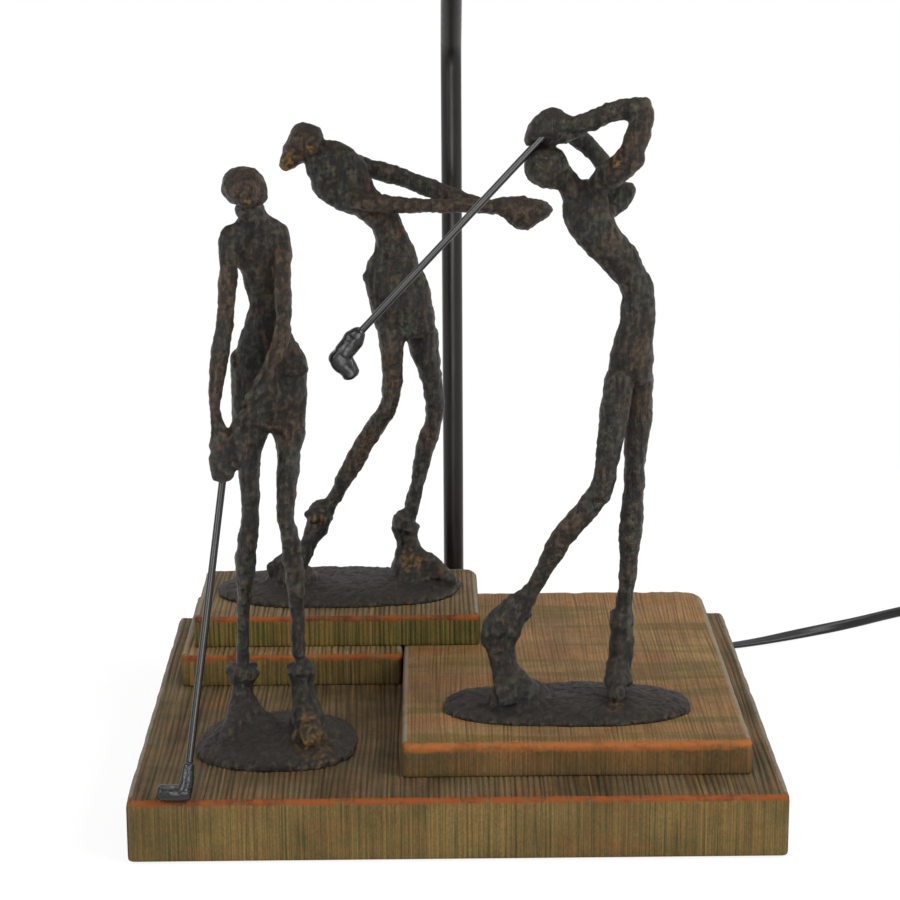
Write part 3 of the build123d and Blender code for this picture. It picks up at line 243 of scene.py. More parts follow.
def bridge(bm: Mesh, rings: Sequence[Edges]) -> None:
    """Join rings into one skin and close its ends.

    Args:
        bm: Mesh that holds the rings.
        rings: Their edges, in order.
    """
    for first, second in zip(rings, rings[1:]):
        bmesh.ops.bridge_loops(bm, edges=first + second)
    for end in (rings[0], rings[-1]):
        bmesh.ops.edgeloop_fill(bm, edges=end)


def turned(
    bm: Mesh, outline: Sequence[tuple[float, float]], centre: Point, steps: int = 64
) -> None:
    """Spin an open or closed outline about an upright axis.

    Args:
        bm: Mesh that gets the turned form.
        outline: Radius and height of each point, in order.
        centre: A point on the axis.
        steps: Number of steps round.
    """
    verts = [bm.verts.new((centre[0] + r, centre[1], centre[2] + z)) for r, z in outline]
    edges = [bm.edges.new(pair) for pair in zip(verts, verts[1:])]
    bmesh.ops.spin(
        bm, geom=verts + edges, cent=centre, axis=(0, 0, 1), angle=2 * math.pi, steps=steps,
        use_merge=True,
    )
    bmesh.ops.remove_doubles(bm, verts=bm.verts, dist=1e-4)


# ---- Finishes --------------------------------------------------------------------------
@dataclass(frozen=True)
class Finish:
    """What every finish has: a name and a way to make its material."""

    name: str

    def begin(self) -> tuple[Tree, bpy.types.Node, Output]:
        """Start an empty material with a Principled shader and millimetre coordinates.

        Returns:
            The node tree, the shader, and Object coordinates in millimetres.
        """
        material = bpy.data.materials.new(self.name)
        material.use_nodes = True
        tree = material.node_tree
        tree.nodes.clear()
        shader = add_node(tree, "BsdfPrincipled")
        add_node(tree, "OutputMaterial", {"Surface": shader.outputs[0]})
        place = add_node(tree, "TexCoord")
        scaled = add_node(
            tree, "Mapping", {"Vector": place.outputs["Object"], "Scale": (1000, 1000, 1000)}
        )
        return tree, shader, scaled.outputs[0]

    def blend(
        self, tree: Tree, amount: Socket, first: Socket, second: Socket, mode: str = "MIX"
    ) -> Output:
        """Lay one colour over another.

        Args:
            tree: The material's nodes.
            amount: How much of the second shows.
            first: Colour below.
            second: Colour above.
            mode: How they mix.

        Returns:
            The mixed colour.
        """
        return add_node(
            tree, "Mix", {0: amount, 6: first, 7: second}, data_type="RGBA", blend_type=mode
        ).outputs[2]

    def dial(self, shader: bpy.types.Node, **values: float) -> None:
        """Set plain numbers on the shader's own sockets, named with underscores."""
        for name, value in values.items():
            shader.inputs[name.replace("_", " ")].default_value = value

    def material(self) -> bpy.types.Material:
        """The material, made the first time that it is asked for."""
        found = bpy.data.materials.get(self.name)
        if found is None:
            self.build()
            found = bpy.data.materials[self.name]
        return found

    def build(self) -> None:
        """Make the material's nodes."""
        raise NotImplementedError


@dataclass(frozen=True)
class CombedPine(Finish):
    """Pine boards combed along the grain, stained brown and green, then rubbed back.

    The comb leaves dark furrows about 3 mm apart on top and thin dark lines down the fronts;
    the stain stays in them, and goes thin and orange where the front arrises are rubbed.
    """

    ridge: str = "#5e5038"
    ground: str = "#42351f"
    front: str = "#705b31"
    front_dark: str = "#584725"
    furrow: str = "#211b10"
    line: str = "#23301a"
    tan: str = "#8d6e3d"
    rubbed: str = "#7d3d12"
    scorched: str = "#4f2413"
    dusty: str = "#7b7366"
    rosy: str = "#7a4a2a"
    band_cool: str = "#c2cfa6"
    band_warm: str = "#ffe9d6"
    patch_mm: float = 45.45
    blush_mm: float = 25.0
    break_mm: float = 7.143
    roughness: float = 0.68
    specular: float = 0.15
    front_furrow: float = 0.25
    line_share: float = 0.7
    band_share: float = 0.0
    tan_share: float = 0.35

    def streaks(
        self,
        tree: Tree,
        mm: Output,
        across: float,
        shift: float,
        stops: Sequence[tuple[float, tuple]],
        detail: float = 2.0,
    ) -> Output:
        """Noise drawn out along the comb, through a ramp.

        Args:
            tree: The material's nodes.
            mm: Coordinates in millimetres.
            across: Features per millimetre across the comb.
            shift: Offset that tells one set of streaks from another.
            stops: The ramp's stops.
            detail: Detail of the noise.

        Returns:
            The ramp's output.
        """
        drawn = add_node(
            tree,
            "Mapping",
            {"Vector": mm, "Location": (shift, shift, shift), "Scale": (across, 0.009, 0.004)},
        )
        tone = add_node(
            tree,
            "TexNoise",
            {"Vector": drawn.outputs[0], "Scale": 1.0, "Detail": detail, "Roughness": 0.6},
        )
        return ramp(add_node(tree, "ValToRGB", {0: tone.outputs[0]}), stops)

    def build(self) -> None:
        """Make the nodes: stain, streaks, furrows, lines, bands, rubbed arrises, painted shade on
        the flanks, and bump.
        """
        tree, shader, mm = self.begin()
        furrow = add_node(tree, "Attribute", attribute_name="furrow").outputs["Fac"]
        arris = add_node(tree, "Attribute", attribute_name="arris").outputs["Fac"]
        facing = add_node(tree, "NewGeometry").outputs["Normal"]
        up = add_node(tree, "SeparateXYZ", {0: facing}).outputs[2]
        flat = ramp(add_node(tree, "ValToRGB", {0: up}), [(0.35, grey(0)), (0.8, grey(1))])
        upright = add_node(tree, "Math", {0: 1.0, 1: flat}, operation="SUBTRACT").outputs[0]
        # broad changes of stain, 45 mm across
        patch = add_node(
            tree,
            "TexNoise",
            {"Vector": mm, "Scale": 1 / self.patch_mm, "Detail": 5.0, "Roughness": 0.65},
        ).outputs[0]
        patches = ramp(add_node(tree, "ValToRGB", {0: patch}), [(0.36, grey(0)), (0.64, grey(1))])
        top = self.blend(tree, patches, linear(self.ground), linear(self.ridge))
        front = self.blend(tree, patches, linear(self.front_dark), linear(self.front))
        stain = self.blend(tree, upright, top, front)
        # reddish blushes where the stain took unevenly, 25 mm across
        blush = add_node(
            tree,
            "TexNoise",
            {"Vector": mm, "Scale": 1 / self.blush_mm, "Detail": 7.0, "Roughness": 0.7},
        ).outputs[0]
        blush = ramp(add_node(tree, "ValToRGB", {0: blush}), [(0.5, grey(0)), (0.68, grey(0.4))])
        stain = self.blend(tree, blush, stain, linear(self.rosy))
        # streaks 0.7 mm wide and some 100 mm long, lighter and darker than the stain
        fine = self.streaks(
            tree, mm, 1.5, 0.0, [(0.3, grey(0.62)), (0.5, grey(1.0)), (0.7, grey(1.42))], 3.0
        )
        stain = self.blend(tree, 0.7, stain, fine, "MULTIPLY")
        # speckle of the open grain, 1 mm across
        speck = add_node(tree, "Mapping", {"Vector": mm, "Scale": (1.1, 0.5, 0.5)})
        speck = add_node(
            tree,
            "TexNoise",
            {"Vector": speck.outputs[0], "Scale": 1.0, "Detail": 4.0, "Roughness": 0.8},
        ).outputs[0]
        speck = ramp(
            add_node(tree, "ValToRGB", {0: speck}),
            [(0.34, grey(0.5)), (0.5, grey(1)), (0.7, grey(1.5))],
        )
        stain = self.blend(tree, 0.6, stain, speck, "MULTIPLY")
        # tan streaks where the stain was wiped thin, 1.5 mm wide and far apart
        tan = self.streaks(tree, mm, 0.55, 31.0, [(0.6, grey(0)), (0.68, grey(self.tan_share))])
        stain = self.blend(tree, tan, stain, linear(self.tan))
        # dark lines 0.5 mm wide down the fronts, drawn as the level line of a slow noise
        edges = [(0.47, grey(0)), (0.5, grey(self.line_share)), (0.53, grey(0))]
        for share, shift in ((0.8, 57.0), (0.37, 83.0)):
            lines = self.streaks(tree, mm, share, shift, edges, 1.0)
            lines = add_node(tree, "Math", {0: lines, 1: upright}, operation="MULTIPLY").outputs[0]
            stain = self.blend(tree, lines, stain, linear(self.line))
        # faint bands across the comb, 14 mm apart, left by the rubbing block
        across = add_node(tree, "Mapping", {"Vector": mm, "Scale": (0.008, 0.075, 0.03)})
        band = add_node(
            tree, "TexNoise", {"Vector": across.outputs[0], "Scale": 1.0, "Detail": 2.0}
        ).outputs[0]
        bands = ramp(
            add_node(tree, "ValToRGB", {0: band}),
            [(0.36, linear(self.band_cool)), (0.5, grey(0.9)), (0.64, linear(self.band_warm))],
        )
        stain = self.blend(tree, self.band_share, stain, bands, "MULTIPLY")
        share = add_node(
            tree, "MapRange", {"Value": upright, "To Min": 0.95, "To Max": self.front_furrow}
        ).outputs[0]
        depth = add_node(tree, "Math", {0: furrow, 1: share}, operation="MULTIPLY").outputs[0]
        dark = self.blend(tree, upright, linear(self.furrow), linear(self.line))
        stain = self.blend(tree, depth, stain, dark)
        # the rubbed arris is broken up every 7 mm or so along its length
        breaks = add_node(
            tree,
            "TexNoise",
            {"Vector": mm, "Scale": 1 / self.break_mm, "Detail": 6.0, "Roughness": 0.75},
        ).outputs[0]
        bare = add_node(tree, "Math", {0: arris, 1: breaks}, operation="MULTIPLY").outputs[0]
        bare = ramp(add_node(tree, "ValToRGB", {0: bare}), [(0.28, grey(0)), (0.52, grey(0.95))])
        worn = ramp(
            add_node(tree, "ValToRGB", {0: blush}),
            [(0.0, linear(self.rubbed)), (0.3, linear(self.scorched))],
        )
        stain = self.blend(tree, bare, stain, worn)
        # the other arrises are only scuffed, pale and dusty
        scuff = add_node(tree, "Attribute", attribute_name="scuff").outputs["Fac"]
        scuff = add_node(tree, "Math", {0: scuff, 1: breaks}, operation="MULTIPLY").outputs[0]
        scuff = ramp(add_node(tree, "ValToRGB", {0: scuff}), [(0.22, grey(0)), (0.5, grey(0.7))])
        stain = self.blend(tree, scuff, stain, linear(self.dusty))
        # painted shade: faces that turn sideways, the flanks, are darkened towards the furrow
        # colour
        sideways = add_node(tree, "SeparateXYZ", {0: facing}).outputs[0]
        sideways = add_node(tree, "Math", {0: sideways}, operation="ABSOLUTE").outputs[0]
        flank = ramp(add_node(tree, "ValToRGB", {0: sideways}), [(0.55, grey(0)), (0.9, grey(0.6))])
        stain = self.blend(tree, flank, stain, linear(self.furrow))
        tree.links.new(stain, shader.inputs["Base Color"])
        fibre = add_node(tree, "Mapping", {"Vector": mm, "Scale": (2.6, 0.08, 0.08)})
        fibres = add_node(
            tree, "TexNoise", {"Vector": fibre.outputs[0], "Scale": 1.0, "Detail": 3.0}
        ).outputs[0]
        relief = add_node(
            tree, "Bump", {"Height": fibres, "Strength": 0.6, "Distance": 0.0006}
        ).outputs[0]
        tree.links.new(relief, shader.inputs["Normal"])
        self.dial(shader, Roughness=self.roughness, Specular_IOR_Level=self.specular)


@dataclass(frozen=True)
class PatinatedBronze(Finish):
    """Sand-cast bronze with a near-black patina, rubbed thin on its high places.

    Olive black with grey-green hollows, brown along the ridges, patches of rust red and a few
    glints of bare gold bronze; the skin is finely pitted from the mould and half shiny.
    """

    dark: str = "#25231b"
    brown: str = "#402b1a"
    verdigris: str = "#29312a"
    olive: str = "#5f5847"
    rust: str = "#5c2917"
    gold: str = "#775518"
    pit_patina_and_shade: str = "#0c0b08"
    hollow_patina_and_shade: str = "#0a0907"
    painted_top_shade: str = "#1c130b"
    patch_mm: float = 10.0
    mottle_mm: float = 2.0
    grain_mm: float = 0.909
    bloom_mm: float = 20.0
    fleck_mm: float = 1.818
    bump_mm: float = 2.2
    gloss: tuple[float, float] = (0.26, 0.46)
    top_matt: float = 0.25
    metallic: float = 0.2
    specular: float = 0.35

    def mix(
        self,
        tree: Tree,
        value: Socket,
        stops: Sequence[tuple[float, float]],
        first: Socket,
        second: Socket,
    ) -> Output:
        """Lay a second colour over the first as far as a ramp of a value says.

        Args:
            tree: The material's nodes.
            value: What the ramp reads.
            stops: Place and amount of each stop.
            first: Colour below.
            second: Colour above.

        Returns:
            The mixed colour.
        """
        amount = ramp(
            add_node(tree, "ValToRGB", {0: value}), [(place, grey(much)) for place, much in stops]
        )
        return self.blend(tree, amount, first, second)

    def build(self) -> None:
        """Make the nodes: patina patches, brown ridges, rust, bare spots, pits and gloss, with
        painted shade and painted highlight in the pits, hollows, ridges and upward faces.
        """
        tree, shader, mm = self.begin()
        relief, gilt, handled = (
            add_node(tree, "Attribute", attribute_name=name).outputs["Fac"]
            for name in ("relief", "gilt", "handled")
        )
        facing = add_node(tree, "NewGeometry").outputs["Normal"]
        up = add_node(tree, "SeparateXYZ", {0: facing}).outputs[2]
        # patches and mottles are drawn out up the limbs, strokes of the modelling tool more so
        drawn, strokes = (
            add_node(tree, "Mapping", {"Vector": mm, "Scale": scale}).outputs[0]
            for scale in ((1.0, 1.0, 0.4), (0.8, 0.8, 0.11))
        )
        # the grain of the moulding sand is drawn at 0.9 mm because finer grain wouldn't show
        patch, mottle, stroke, grain, bloom, fleck = (
            add_node(
                tree,
                "TexNoise",
                {"Vector": vector, "Scale": 1 / size, "Detail": detail, "Roughness": 0.72},
            ).outputs[0]
            for vector, size, detail in (
                (drawn, self.patch_mm, 6.0), (drawn, self.mottle_mm, 6.0), (strokes, 1.0, 4.0),
                (mm, self.grain_mm, 5.0), (mm, self.bloom_mm, 8.0), (mm, self.fleck_mm, 6.0),
            )
        )
        tone = ramp(
            add_node(tree, "ValToRGB", {0: patch}),
            [
                (0.36, linear(self.verdigris)), (0.48, linear(self.dark)),
                (0.55, linear(self.dark)), (0.68, linear(self.brown)),
            ],
        )
        # places that hands reach are browner, in mottles 2 mm across
        warm = add_node(
            tree, "Math", {0: handled, 1: 0.2, 2: mottle}, operation="MULTIPLY_ADD"
        ).outputs[0]
        tone = self.mix(tree, warm, [(0.52, 0.0), (0.68, 0.9)], tone, linear(self.brown))
        # the skin's grain and strokes, which also drive the bump: their pits go black, partly
        # patina and partly painted shade, and their tops go paler, partly rubbed metal and partly
        # painted highlight
        skin = add_node(tree, "Math", {0: grain, 1: stroke}, operation="ADD").outputs[0]
        skin = add_node(tree, "Math", {0: skin, 1: 0.5}, operation="MULTIPLY").outputs[0]
        tone = self.mix(tree, skin, [(0.41, 0.85), (0.49, 0.0)], tone, linear(self.pit_patina_and_shade))
        tone = self.mix(tree, skin, [(0.54, 0.0), (0.62, 0.6)], tone, linear(self.olive))
        # rust blooms, rare
        tone = self.mix(tree, bloom, [(0.61, 0.0), (0.7, 0.65)], tone, linear(self.rust))
        # bare metal: in the given spots, and in flecks on the highest ridges
        spot = add_node(
            tree, "Math", {0: gilt, 1: 0.34, 2: fleck}, operation="MULTIPLY_ADD"
        ).outputs[0]
        lift = add_node(
            tree, "Math", {0: relief, 1: 0.3, 2: spot}, operation="MULTIPLY_ADD"
        ).outputs[0]
        lift = add_node(tree, "Math", {0: lift, 1: 0.8}, operation="MULTIPLY").outputs[0]
        tone = self.mix(tree, lift, [(0.68, 0.0), (0.84, 0.8)], tone, linear(self.gold))
        # black in the hollows, partly patina and partly painted shade, and olive on the ridges,
        # partly rubbed metal and partly painted highlight
        tone = self.mix(tree, relief, [(0.3, 0.75), (0.5, 0.0)], tone, linear(self.hollow_patina_and_shade))
        tone = self.mix(tree, relief, [(0.56, 0.0), (0.8, 0.3)], tone, linear(self.olive))
        # painted shade: faces that turn upwards are darkened towards dark brown, against the light
        # that falls on them from above
        tone = self.mix(tree, up, [(0.35, 0.0), (0.9, 0.65)], tone, linear(self.painted_top_shade))
        tree.links.new(tone, shader.inputs["Base Color"])
        depth = self.bump_mm * MM
        bump = add_node(tree, "Bump", {"Height": skin, "Strength": 1.0, "Distance": depth})
        tree.links.new(bump.outputs[0], shader.inputs["Normal"])
        shiny, dull = (grey(value) for value in self.gloss)
        gloss = ramp(add_node(tree, "ValToRGB", {0: grain}), [(0.35, shiny), (0.65, dull)])
        matt = ramp(
            add_node(tree, "ValToRGB", {0: up}), [(0.4, grey(0)), (0.9, grey(self.top_matt))]
        )
        gloss = add_node(tree, "Math", {0: gloss, 1: matt}, operation="ADD").outputs[0]
        tree.links.new(gloss, shader.inputs["Roughness"])
        self.dial(shader, Metallic=self.metallic, Specular_IOR_Level=self.specular)


@dataclass(frozen=True)
class PlainFinish(Finish):
    """A finish of one colour whose life is in its gloss, its grain and slight unevenness.

    Speckle is how far the second colour shows in patches of patch_mm; grain_mm is the size of
    the surface's grain; brush stretches it along an axis, as on drawn tube or brushed sheet.
    """

    colour: str = "#808080"
    second: str = "#606060"
    metallic: float = 0.0
    roughness: float = 0.5
    gloss_spread: float = 0.08
    speckle: float = 0.5
    patch_mm: float = 20.0
    grain_mm: float = 1.0
    brush: tuple[float, float, float] = (1.0, 1.0, 1.0)
    bump_mm: float = 0.05
    specular: float = 0.5
    sheen: float = 0.0
    coat: float = 0.0

    def build(self) -> None:
        """Make the nodes: two close colours in patches, grained gloss and a fine bump."""
        tree, shader, mm = self.begin()
        patch = add_node(
            tree,
            "TexNoise",
            {"Vector": mm, "Scale": 1.0 / self.patch_mm, "Detail": 4.0, "Roughness": 0.6},
        ).outputs[0]
        mask = ramp(
            add_node(tree, "ValToRGB", {0: patch}), [(0.35, grey(0)), (0.65, grey(self.speckle))]
        )
        mixed = self.blend(tree, mask, linear(self.colour), linear(self.second))
        tree.links.new(mixed, shader.inputs["Base Color"])
        drawn = add_node(tree, "Mapping", {"Vector": mm, "Scale": self.brush})
        grain = add_node(
            tree,
            "TexNoise",
            {"Vector": drawn.outputs[0], "Scale": 1.0 / self.grain_mm, "Detail": 3.0},
        ).outputs[0]
        low, high = self.roughness - self.gloss_spread, self.roughness + self.gloss_spread
        gloss = ramp(add_node(tree, "ValToRGB", {0: grain}), [(0.3, grey(low)), (0.7, grey(high))])
        tree.links.new(gloss, shader.inputs["Roughness"])
        bump = add_node(
            tree, "Bump", {"Height": grain, "Strength": 0.5, "Distance": self.bump_mm * MM}
        )
        tree.links.new(bump.outputs[0], shader.inputs["Normal"])
        self.dial(
            shader,
            Metallic=self.metallic,
            Specular_IOR_Level=self.specular,
            Sheen_Weight=self.sheen,
            Coat_Weight=self.coat,
        )


@dataclass(frozen=True)
class WovenLinen(Finish):
    """Undyed linen on a stiff liner: plain weave, slubbed threads, warm and quite matt."""

    warp: str = "#d8cdb8"
    weft: str = "#c4b79e"
    thread_mm: float = 1.2
    threads_round: int = 860
    axis: Point = (-1.5, -20.0, 0.0)
    slub_mm: float = 8.333
    bump_mm: float = 0.3
    roughness: float = 0.85
    sheen: float = 0.15

    def build(self) -> None:
        """Make the nodes: threads round and up the shade, with slubs."""
        tree, shader, mm = self.begin()
        # round the shade's axis: turns counted in threads, heights in threads
        centred = add_node(tree, "Mapping", {"Vector": mm, "Location": self.axis}).outputs[0]
        x, y, z = add_node(tree, "SeparateXYZ", {0: centred}).outputs
        turn = add_node(tree, "Math", {0: y, 1: x}, operation="ARCTAN2").outputs[0]
        turns = self.threads_round / (2 * math.pi)
        column = add_node(tree, "Math", {0: turn, 1: turns}, operation="MULTIPLY").outputs[0]
        row = add_node(tree, "Math", {0: z, 1: 1 / self.thread_mm}, operation="MULTIPLY").outputs[0]
        scaled = add_node(tree, "CombineXYZ", {0: column, 1: row}).outputs[0]
        slub = add_node(
            tree, "TexNoise", {"Vector": mm, "Scale": 1 / self.slub_mm, "Detail": 3.0}
        ).outputs[0]
        # a wave of this scale has one crest to each unit, which is one thread
        one_thread = math.pi / 10
        upright, level = (
            add_node(
                tree,
                "TexWave",
                {"Vector": scaled, "Scale": one_thread, "Distortion": 0.6, "Detail": 1.0},
                bands_direction=way,
            ).outputs["Fac"]
            for way in "XY"
        )
        weave = add_node(tree, "Math", {0: upright, 1: level}, operation="MULTIPLY").outputs[0]
        tone = add_node(tree, "Math", {0: weave, 1: slub}, operation="ADD").outputs[0]
        colour = ramp(
            add_node(tree, "ValToRGB", {0: tone}),
            [(0.3, linear(self.weft)), (0.9, linear(self.warp))],
        )
        tree.links.new(colour, shader.inputs["Base Color"])
        bump = add_node(
            tree, "Bump", {"Height": weave, "Strength": 0.5, "Distance": self.bump_mm * MM}
        )
        tree.links.new(bump.outputs[0], shader.inputs["Normal"])
        self.dial(shader, Roughness=self.roughness, Sheen_Weight=self.sheen)


# four boards of one make: the front one is rubbed most, the rear ones keep more green stain
SLAB_PINE = CombedPine("slab_combed_pine")
FRONT_PINE = CombedPine(
    "front_board_combed_pine", ridge="#8a6e4a", ground="#705739", front="#6f5632",
    front_dark="#4f4326", furrow="#4a3820", line="#2b2a15", rubbed="#8f5223", scorched="#6d3c18",
    front_furrow=0.35, line_share=0.5, band_share=0.85,
)
REAR_PINE = CombedPine(
    "rear_board_combed_pine", ridge="#7d6846", ground="#5b4a2e", front="#715d30",
    front_dark="#534320", line="#1d2411", front_furrow=0.6, tan_share=0.5,
)
TOP_PINE = CombedPine(
    "top_board_combed_pine", ridge="#705f45", ground="#55462c", front="#705d2a",
    front_dark="#544e21", line="#16240f", front_furrow=0.85, tan_share=0.5,
)
BRONZE = PatinatedBronze("patinated_cast_bronze")
# lacquered steel tube: brown-black, an even satin with a long soft highlight
TUBE = PlainFinish(
    "lacquered_steel_tube", colour="#191613", second="#211c18", metallic=0.3, roughness=0.36,
    specular=0.4, patch_mm=40.0, grain_mm=1.6, brush=(1.0, 1.0, 0.05), bump_mm=0.02,
)
# drawn steel rod, oil-blackened and polished: dark with a bright line along it
SHAFT_STEEL = PlainFinish(
    "blackened_drawn_steel", colour="#0b0b0a", second="#12110f", metallic=0.0, roughness=0.24,
    gloss_spread=0.04, specular=0.45, patch_mm=9.0, grain_mm=6.0, brush=(1.0, 1.0, 0.05),
    bump_mm=0.004,
)
# cast iron heads, tumbled and blackened: blunt, lumpy and half glossy
HEAD_IRON = PlainFinish(
    "blackened_cast_iron", colour="#0c0e0d", second="#191b1a", metallic=0.0, specular=0.4,
    roughness=0.32, gloss_spread=0.12, patch_mm=5.0, grain_mm=1.6, bump_mm=0.12,
)
# pressed wool: dead matt, with a faint pale bloom at grazing angles
FELT = PlainFinish(
    "pressed_wool_felt", colour="#1d211c", second="#262a22", roughness=0.95, gloss_spread=0.03,
    patch_mm=6.0, grain_mm=0.5, bump_mm=0.3, specular=0.15, sheen=0.3,
)
# plasticised PVC: black, smooth, a soft waxy gloss
CORD_VINYL = PlainFinish(
    "soft_vinyl_cord", colour="#101010", second="#161616", specular=0.3, roughness=0.42,
    patch_mm=14.0, grain_mm=0.6, bump_mm=0.03,
)
# harder moulded PVC with a spark-eroded grain: a little paler and duller than the cord
PLUG_VINYL = PlainFinish(
    "moulded_hard_vinyl", colour="#171717", second="#202020", roughness=0.5, patch_mm=10.0,
    grain_mm=0.7, bump_mm=0.08,
)
# zinc plate on turned and stamped steel: pale grey, softly blurred reflections
ZINC = PlainFinish(
    "zinc_plated_steel", colour="#a9a89f", second="#8f8d80", metallic=1.0, roughness=0.34,
    patch_mm=4.0, grain_mm=0.5,
)
# turned brass under clear lacquer: warm yellow, fine rings of tooling
BRASS = PlainFinish(
    "lacquered_turned_brass", colour="#b48a45", second="#94702f", metallic=1.0, roughness=0.28,
    patch_mm=9.0, grain_mm=0.4, brush=(0.3, 0.3, 3.0), coat=0.3,
)
# spun aluminium shell, dyed a brassy brown and brushed round
SHELL_METAL = PlainFinish(
    "anodised_spun_aluminium", colour="#8f7442", second="#7b6236", metallic=1.0, roughness=0.35,
    patch_mm=12.0, grain_mm=0.35, brush=(0.2, 0.2, 3.0),
)
# grey-brown hard paper tube: matt and fibrous
PAPERBOARD = PlainFinish(
    "vulcanised_paper_liner", colour="#4b3a2c", second="#5a4735", roughness=0.8, patch_mm=5.0,
    grain_mm=0.4, specular=0.25,
)
# compression-moulded phenolic: nearly black brown, smooth and glossy
PHENOLIC = PlainFinish(
    "moulded_phenolic", colour="#1a1512", second="#261d17", roughness=0.3, patch_mm=6.0,
    grain_mm=0.6, bump_mm=0.02,
)
# cotton tape glued over the rims: a shade darker than the linen, matt and soft
RIM_TAPE = PlainFinish(
    "bias_cut_cotton_tape", colour="#cbbfa7", second="#b9ab8f", roughness=0.9, patch_mm=4.0,
    grain_mm=0.5, bump_mm=0.15, specular=0.2, sheen=0.2,
)
LINEN = WovenLinen("natural_linen")


# ---- Studio ----------------------------------------------------------------------------
@dataclass(frozen=True)
class SoftLight:
    """One square soft light: where it hangs, what it faces, its side and its watts."""

    name: str
    place: Point
    aim: Point
    size: float
    power: float


@dataclass
class Studio:
    """Camera at the photograph's angle, pale floor and plain soft light."""

    eye: Point = (-14.98, -1351.44, 548.98)
    pitch: float = 14.926
    yaw: float = 0.557
    roll: float = -0.332
    lens: float = 96.618
    sensor: float = 36.0
    floor_half: float = 6000.0
    paper: str = "#f4f4f4"
    # places and sides in millimetres, power in watts
    lights: tuple[SoftLight, ...] = (
        SoftLight("key_softbox", (1650, -850, 1500), (0, 0, 200), 1100, 46),
        SoftLight("fill_softbox", (-1400, -1400, 1100), (0, 0, 200), 1200, 27),
        SoftLight("top_softbox", (0, 300, 2200), (0, 0, 100), 1500, 25),
    )
    low_card: SoftLight = SoftLight("low_card", (60, -720, 150), (0, 0, 190), 420, 3.2)
    room_light: float = 0.34
    dark_side: float = 0.4

    def camera(self) -> Piece:
        """Place the camera from its measured angles.

        Returns:
            The camera object, made the scene's own.
        """
        pitch, yaw, roll = (math.radians(a) for a in (self.pitch, self.yaw, self.roll))
        ahead = Vector(
            (math.sin(yaw) * math.cos(pitch), math.cos(yaw) * math.cos(pitch), -math.sin(pitch))
        )
        right = Vector((math.cos(yaw), -math.sin(yaw), 0.0))
        up = right.cross(ahead)
        level = right * math.cos(roll) + up * math.sin(roll)
        upright = -right * math.sin(roll) + up * math.cos(roll)
        data = bpy.data.cameras.new("photo_camera")
        data.lens = self.lens
        data.sensor_width = self.sensor
        data.sensor_fit = "HORIZONTAL"
        data.clip_start = 0.05
        data.clip_end = 60.0
        camera = placed("photo_camera", data)
        turn = Matrix((level, upright, -ahead)).transposed().to_4x4()
        camera.matrix_world = Matrix.Translation(Vector(self.eye) * MM) @ turn
        bpy.context.scene.camera = camera
        return camera

    def floor(self) -> Piece:
        """A pale table top that shows white and keeps the lamp's shadow.

        Returns:
            The floor, marked as stage.
        """
        bm = bmesh.new()
        bmesh.ops.create_grid(bm, x_segments=1, y_segments=1, size=self.floor_half * MM)
        mesh = bpy.data.meshes.new("table_top")
        bm.to_mesh(mesh)
        bm.free()
        floor = placed("table_top", mesh)
        material = bpy.data.materials.new("white_paper_sweep")
        material.use_nodes = True
        tree = material.node_tree
        tree.nodes.clear()
        path = add_node(tree, "LightPath").outputs
        seen = largest(
            tree, [path[f"Is {kind} Ray"] for kind in ("Camera", "Glossy", "Transmission")]
        )
        # far off the paper curves up and shows as the white background
        place = add_node(tree, "TexCoord").outputs["Object"]
        distance = add_node(tree, "VectorMath", {0: place}, operation="LENGTH").outputs["Value"]
        glare = add_node(
            tree,
            "MapRange",
            {"Value": distance, "From Min": 0.4, "From Max": 1.0, "To Min": 0.86, "To Max": 1.0},
        ).outputs[0]
        share = add_node(tree, "Math", {0: seen, 1: glare}, operation="MULTIPLY").outputs[0]
        paper = add_node(
            tree, "BsdfDiffuse", {"Color": linear(self.paper), "Roughness": 0.5}
        ).outputs[0]
        glow = add_node(tree, "Emission", {"Color": linear("#ffffff"), "Strength": 1.0}).outputs[0]
        mixed = add_node(tree, "MixShader", {0: share, 1: paper, 2: glow}).outputs[0]
        add_node(tree, "OutputMaterial", {"Surface": mixed})
        mesh.materials.append(material)
        return floor

    def lamp(self, plan: SoftLight) -> Piece:
        """Hang one square soft light.

        Args:
            plan: What it is and where it goes.

        Returns:
            The light.
        """
        data = bpy.data.lights.new(plan.name, "AREA")
        data.shape = "SQUARE"
        data.size = plan.size * MM
        data.energy = plan.power
        light = placed(plan.name, data)
        way = Vector(plan.aim) - Vector(plan.place)
        turn = way.to_track_quat("-Z", "Y").to_matrix().to_4x4()
        light.matrix_world = Matrix.Translation(Vector(plan.place) * MM) @ turn
        return light

    def sky(self) -> None:
        """The room round the object: white behind it, and plain low light from all round."""
        world = bpy.data.worlds.new("white_room")
        world.use_nodes = True
        tree = world.node_tree
        tree.nodes.clear()
        path = add_node(tree, "LightPath").outputs
        # polished metal sees the dark side of the room in front of the object
        way = add_node(tree, "TexCoord").outputs["Generated"]
        back = add_node(tree, "SeparateXYZ", {0: way}).outputs[1]
        span = {"From Min": -0.5, "From Max": 0.4, "To Min": self.dark_side, "To Max": 1.0}
        glare = add_node(tree, "MapRange", {"Value": back, **span}).outputs[0]
        shine = add_node(
            tree, "Math", {0: path["Is Glossy Ray"], 1: glare}, operation="MULTIPLY"
        ).outputs[0]
        strength = largest(
            tree, [path["Is Camera Ray"], path["Is Transmission Ray"], shine, self.room_light]
        )
        sky = add_node(
            tree, "Background", {"Color": linear("#ffffff"), "Strength": strength}
        ).outputs[0]
        add_node(tree, "OutputWorld", {"Surface": sky})
        bpy.context.scene.world = world

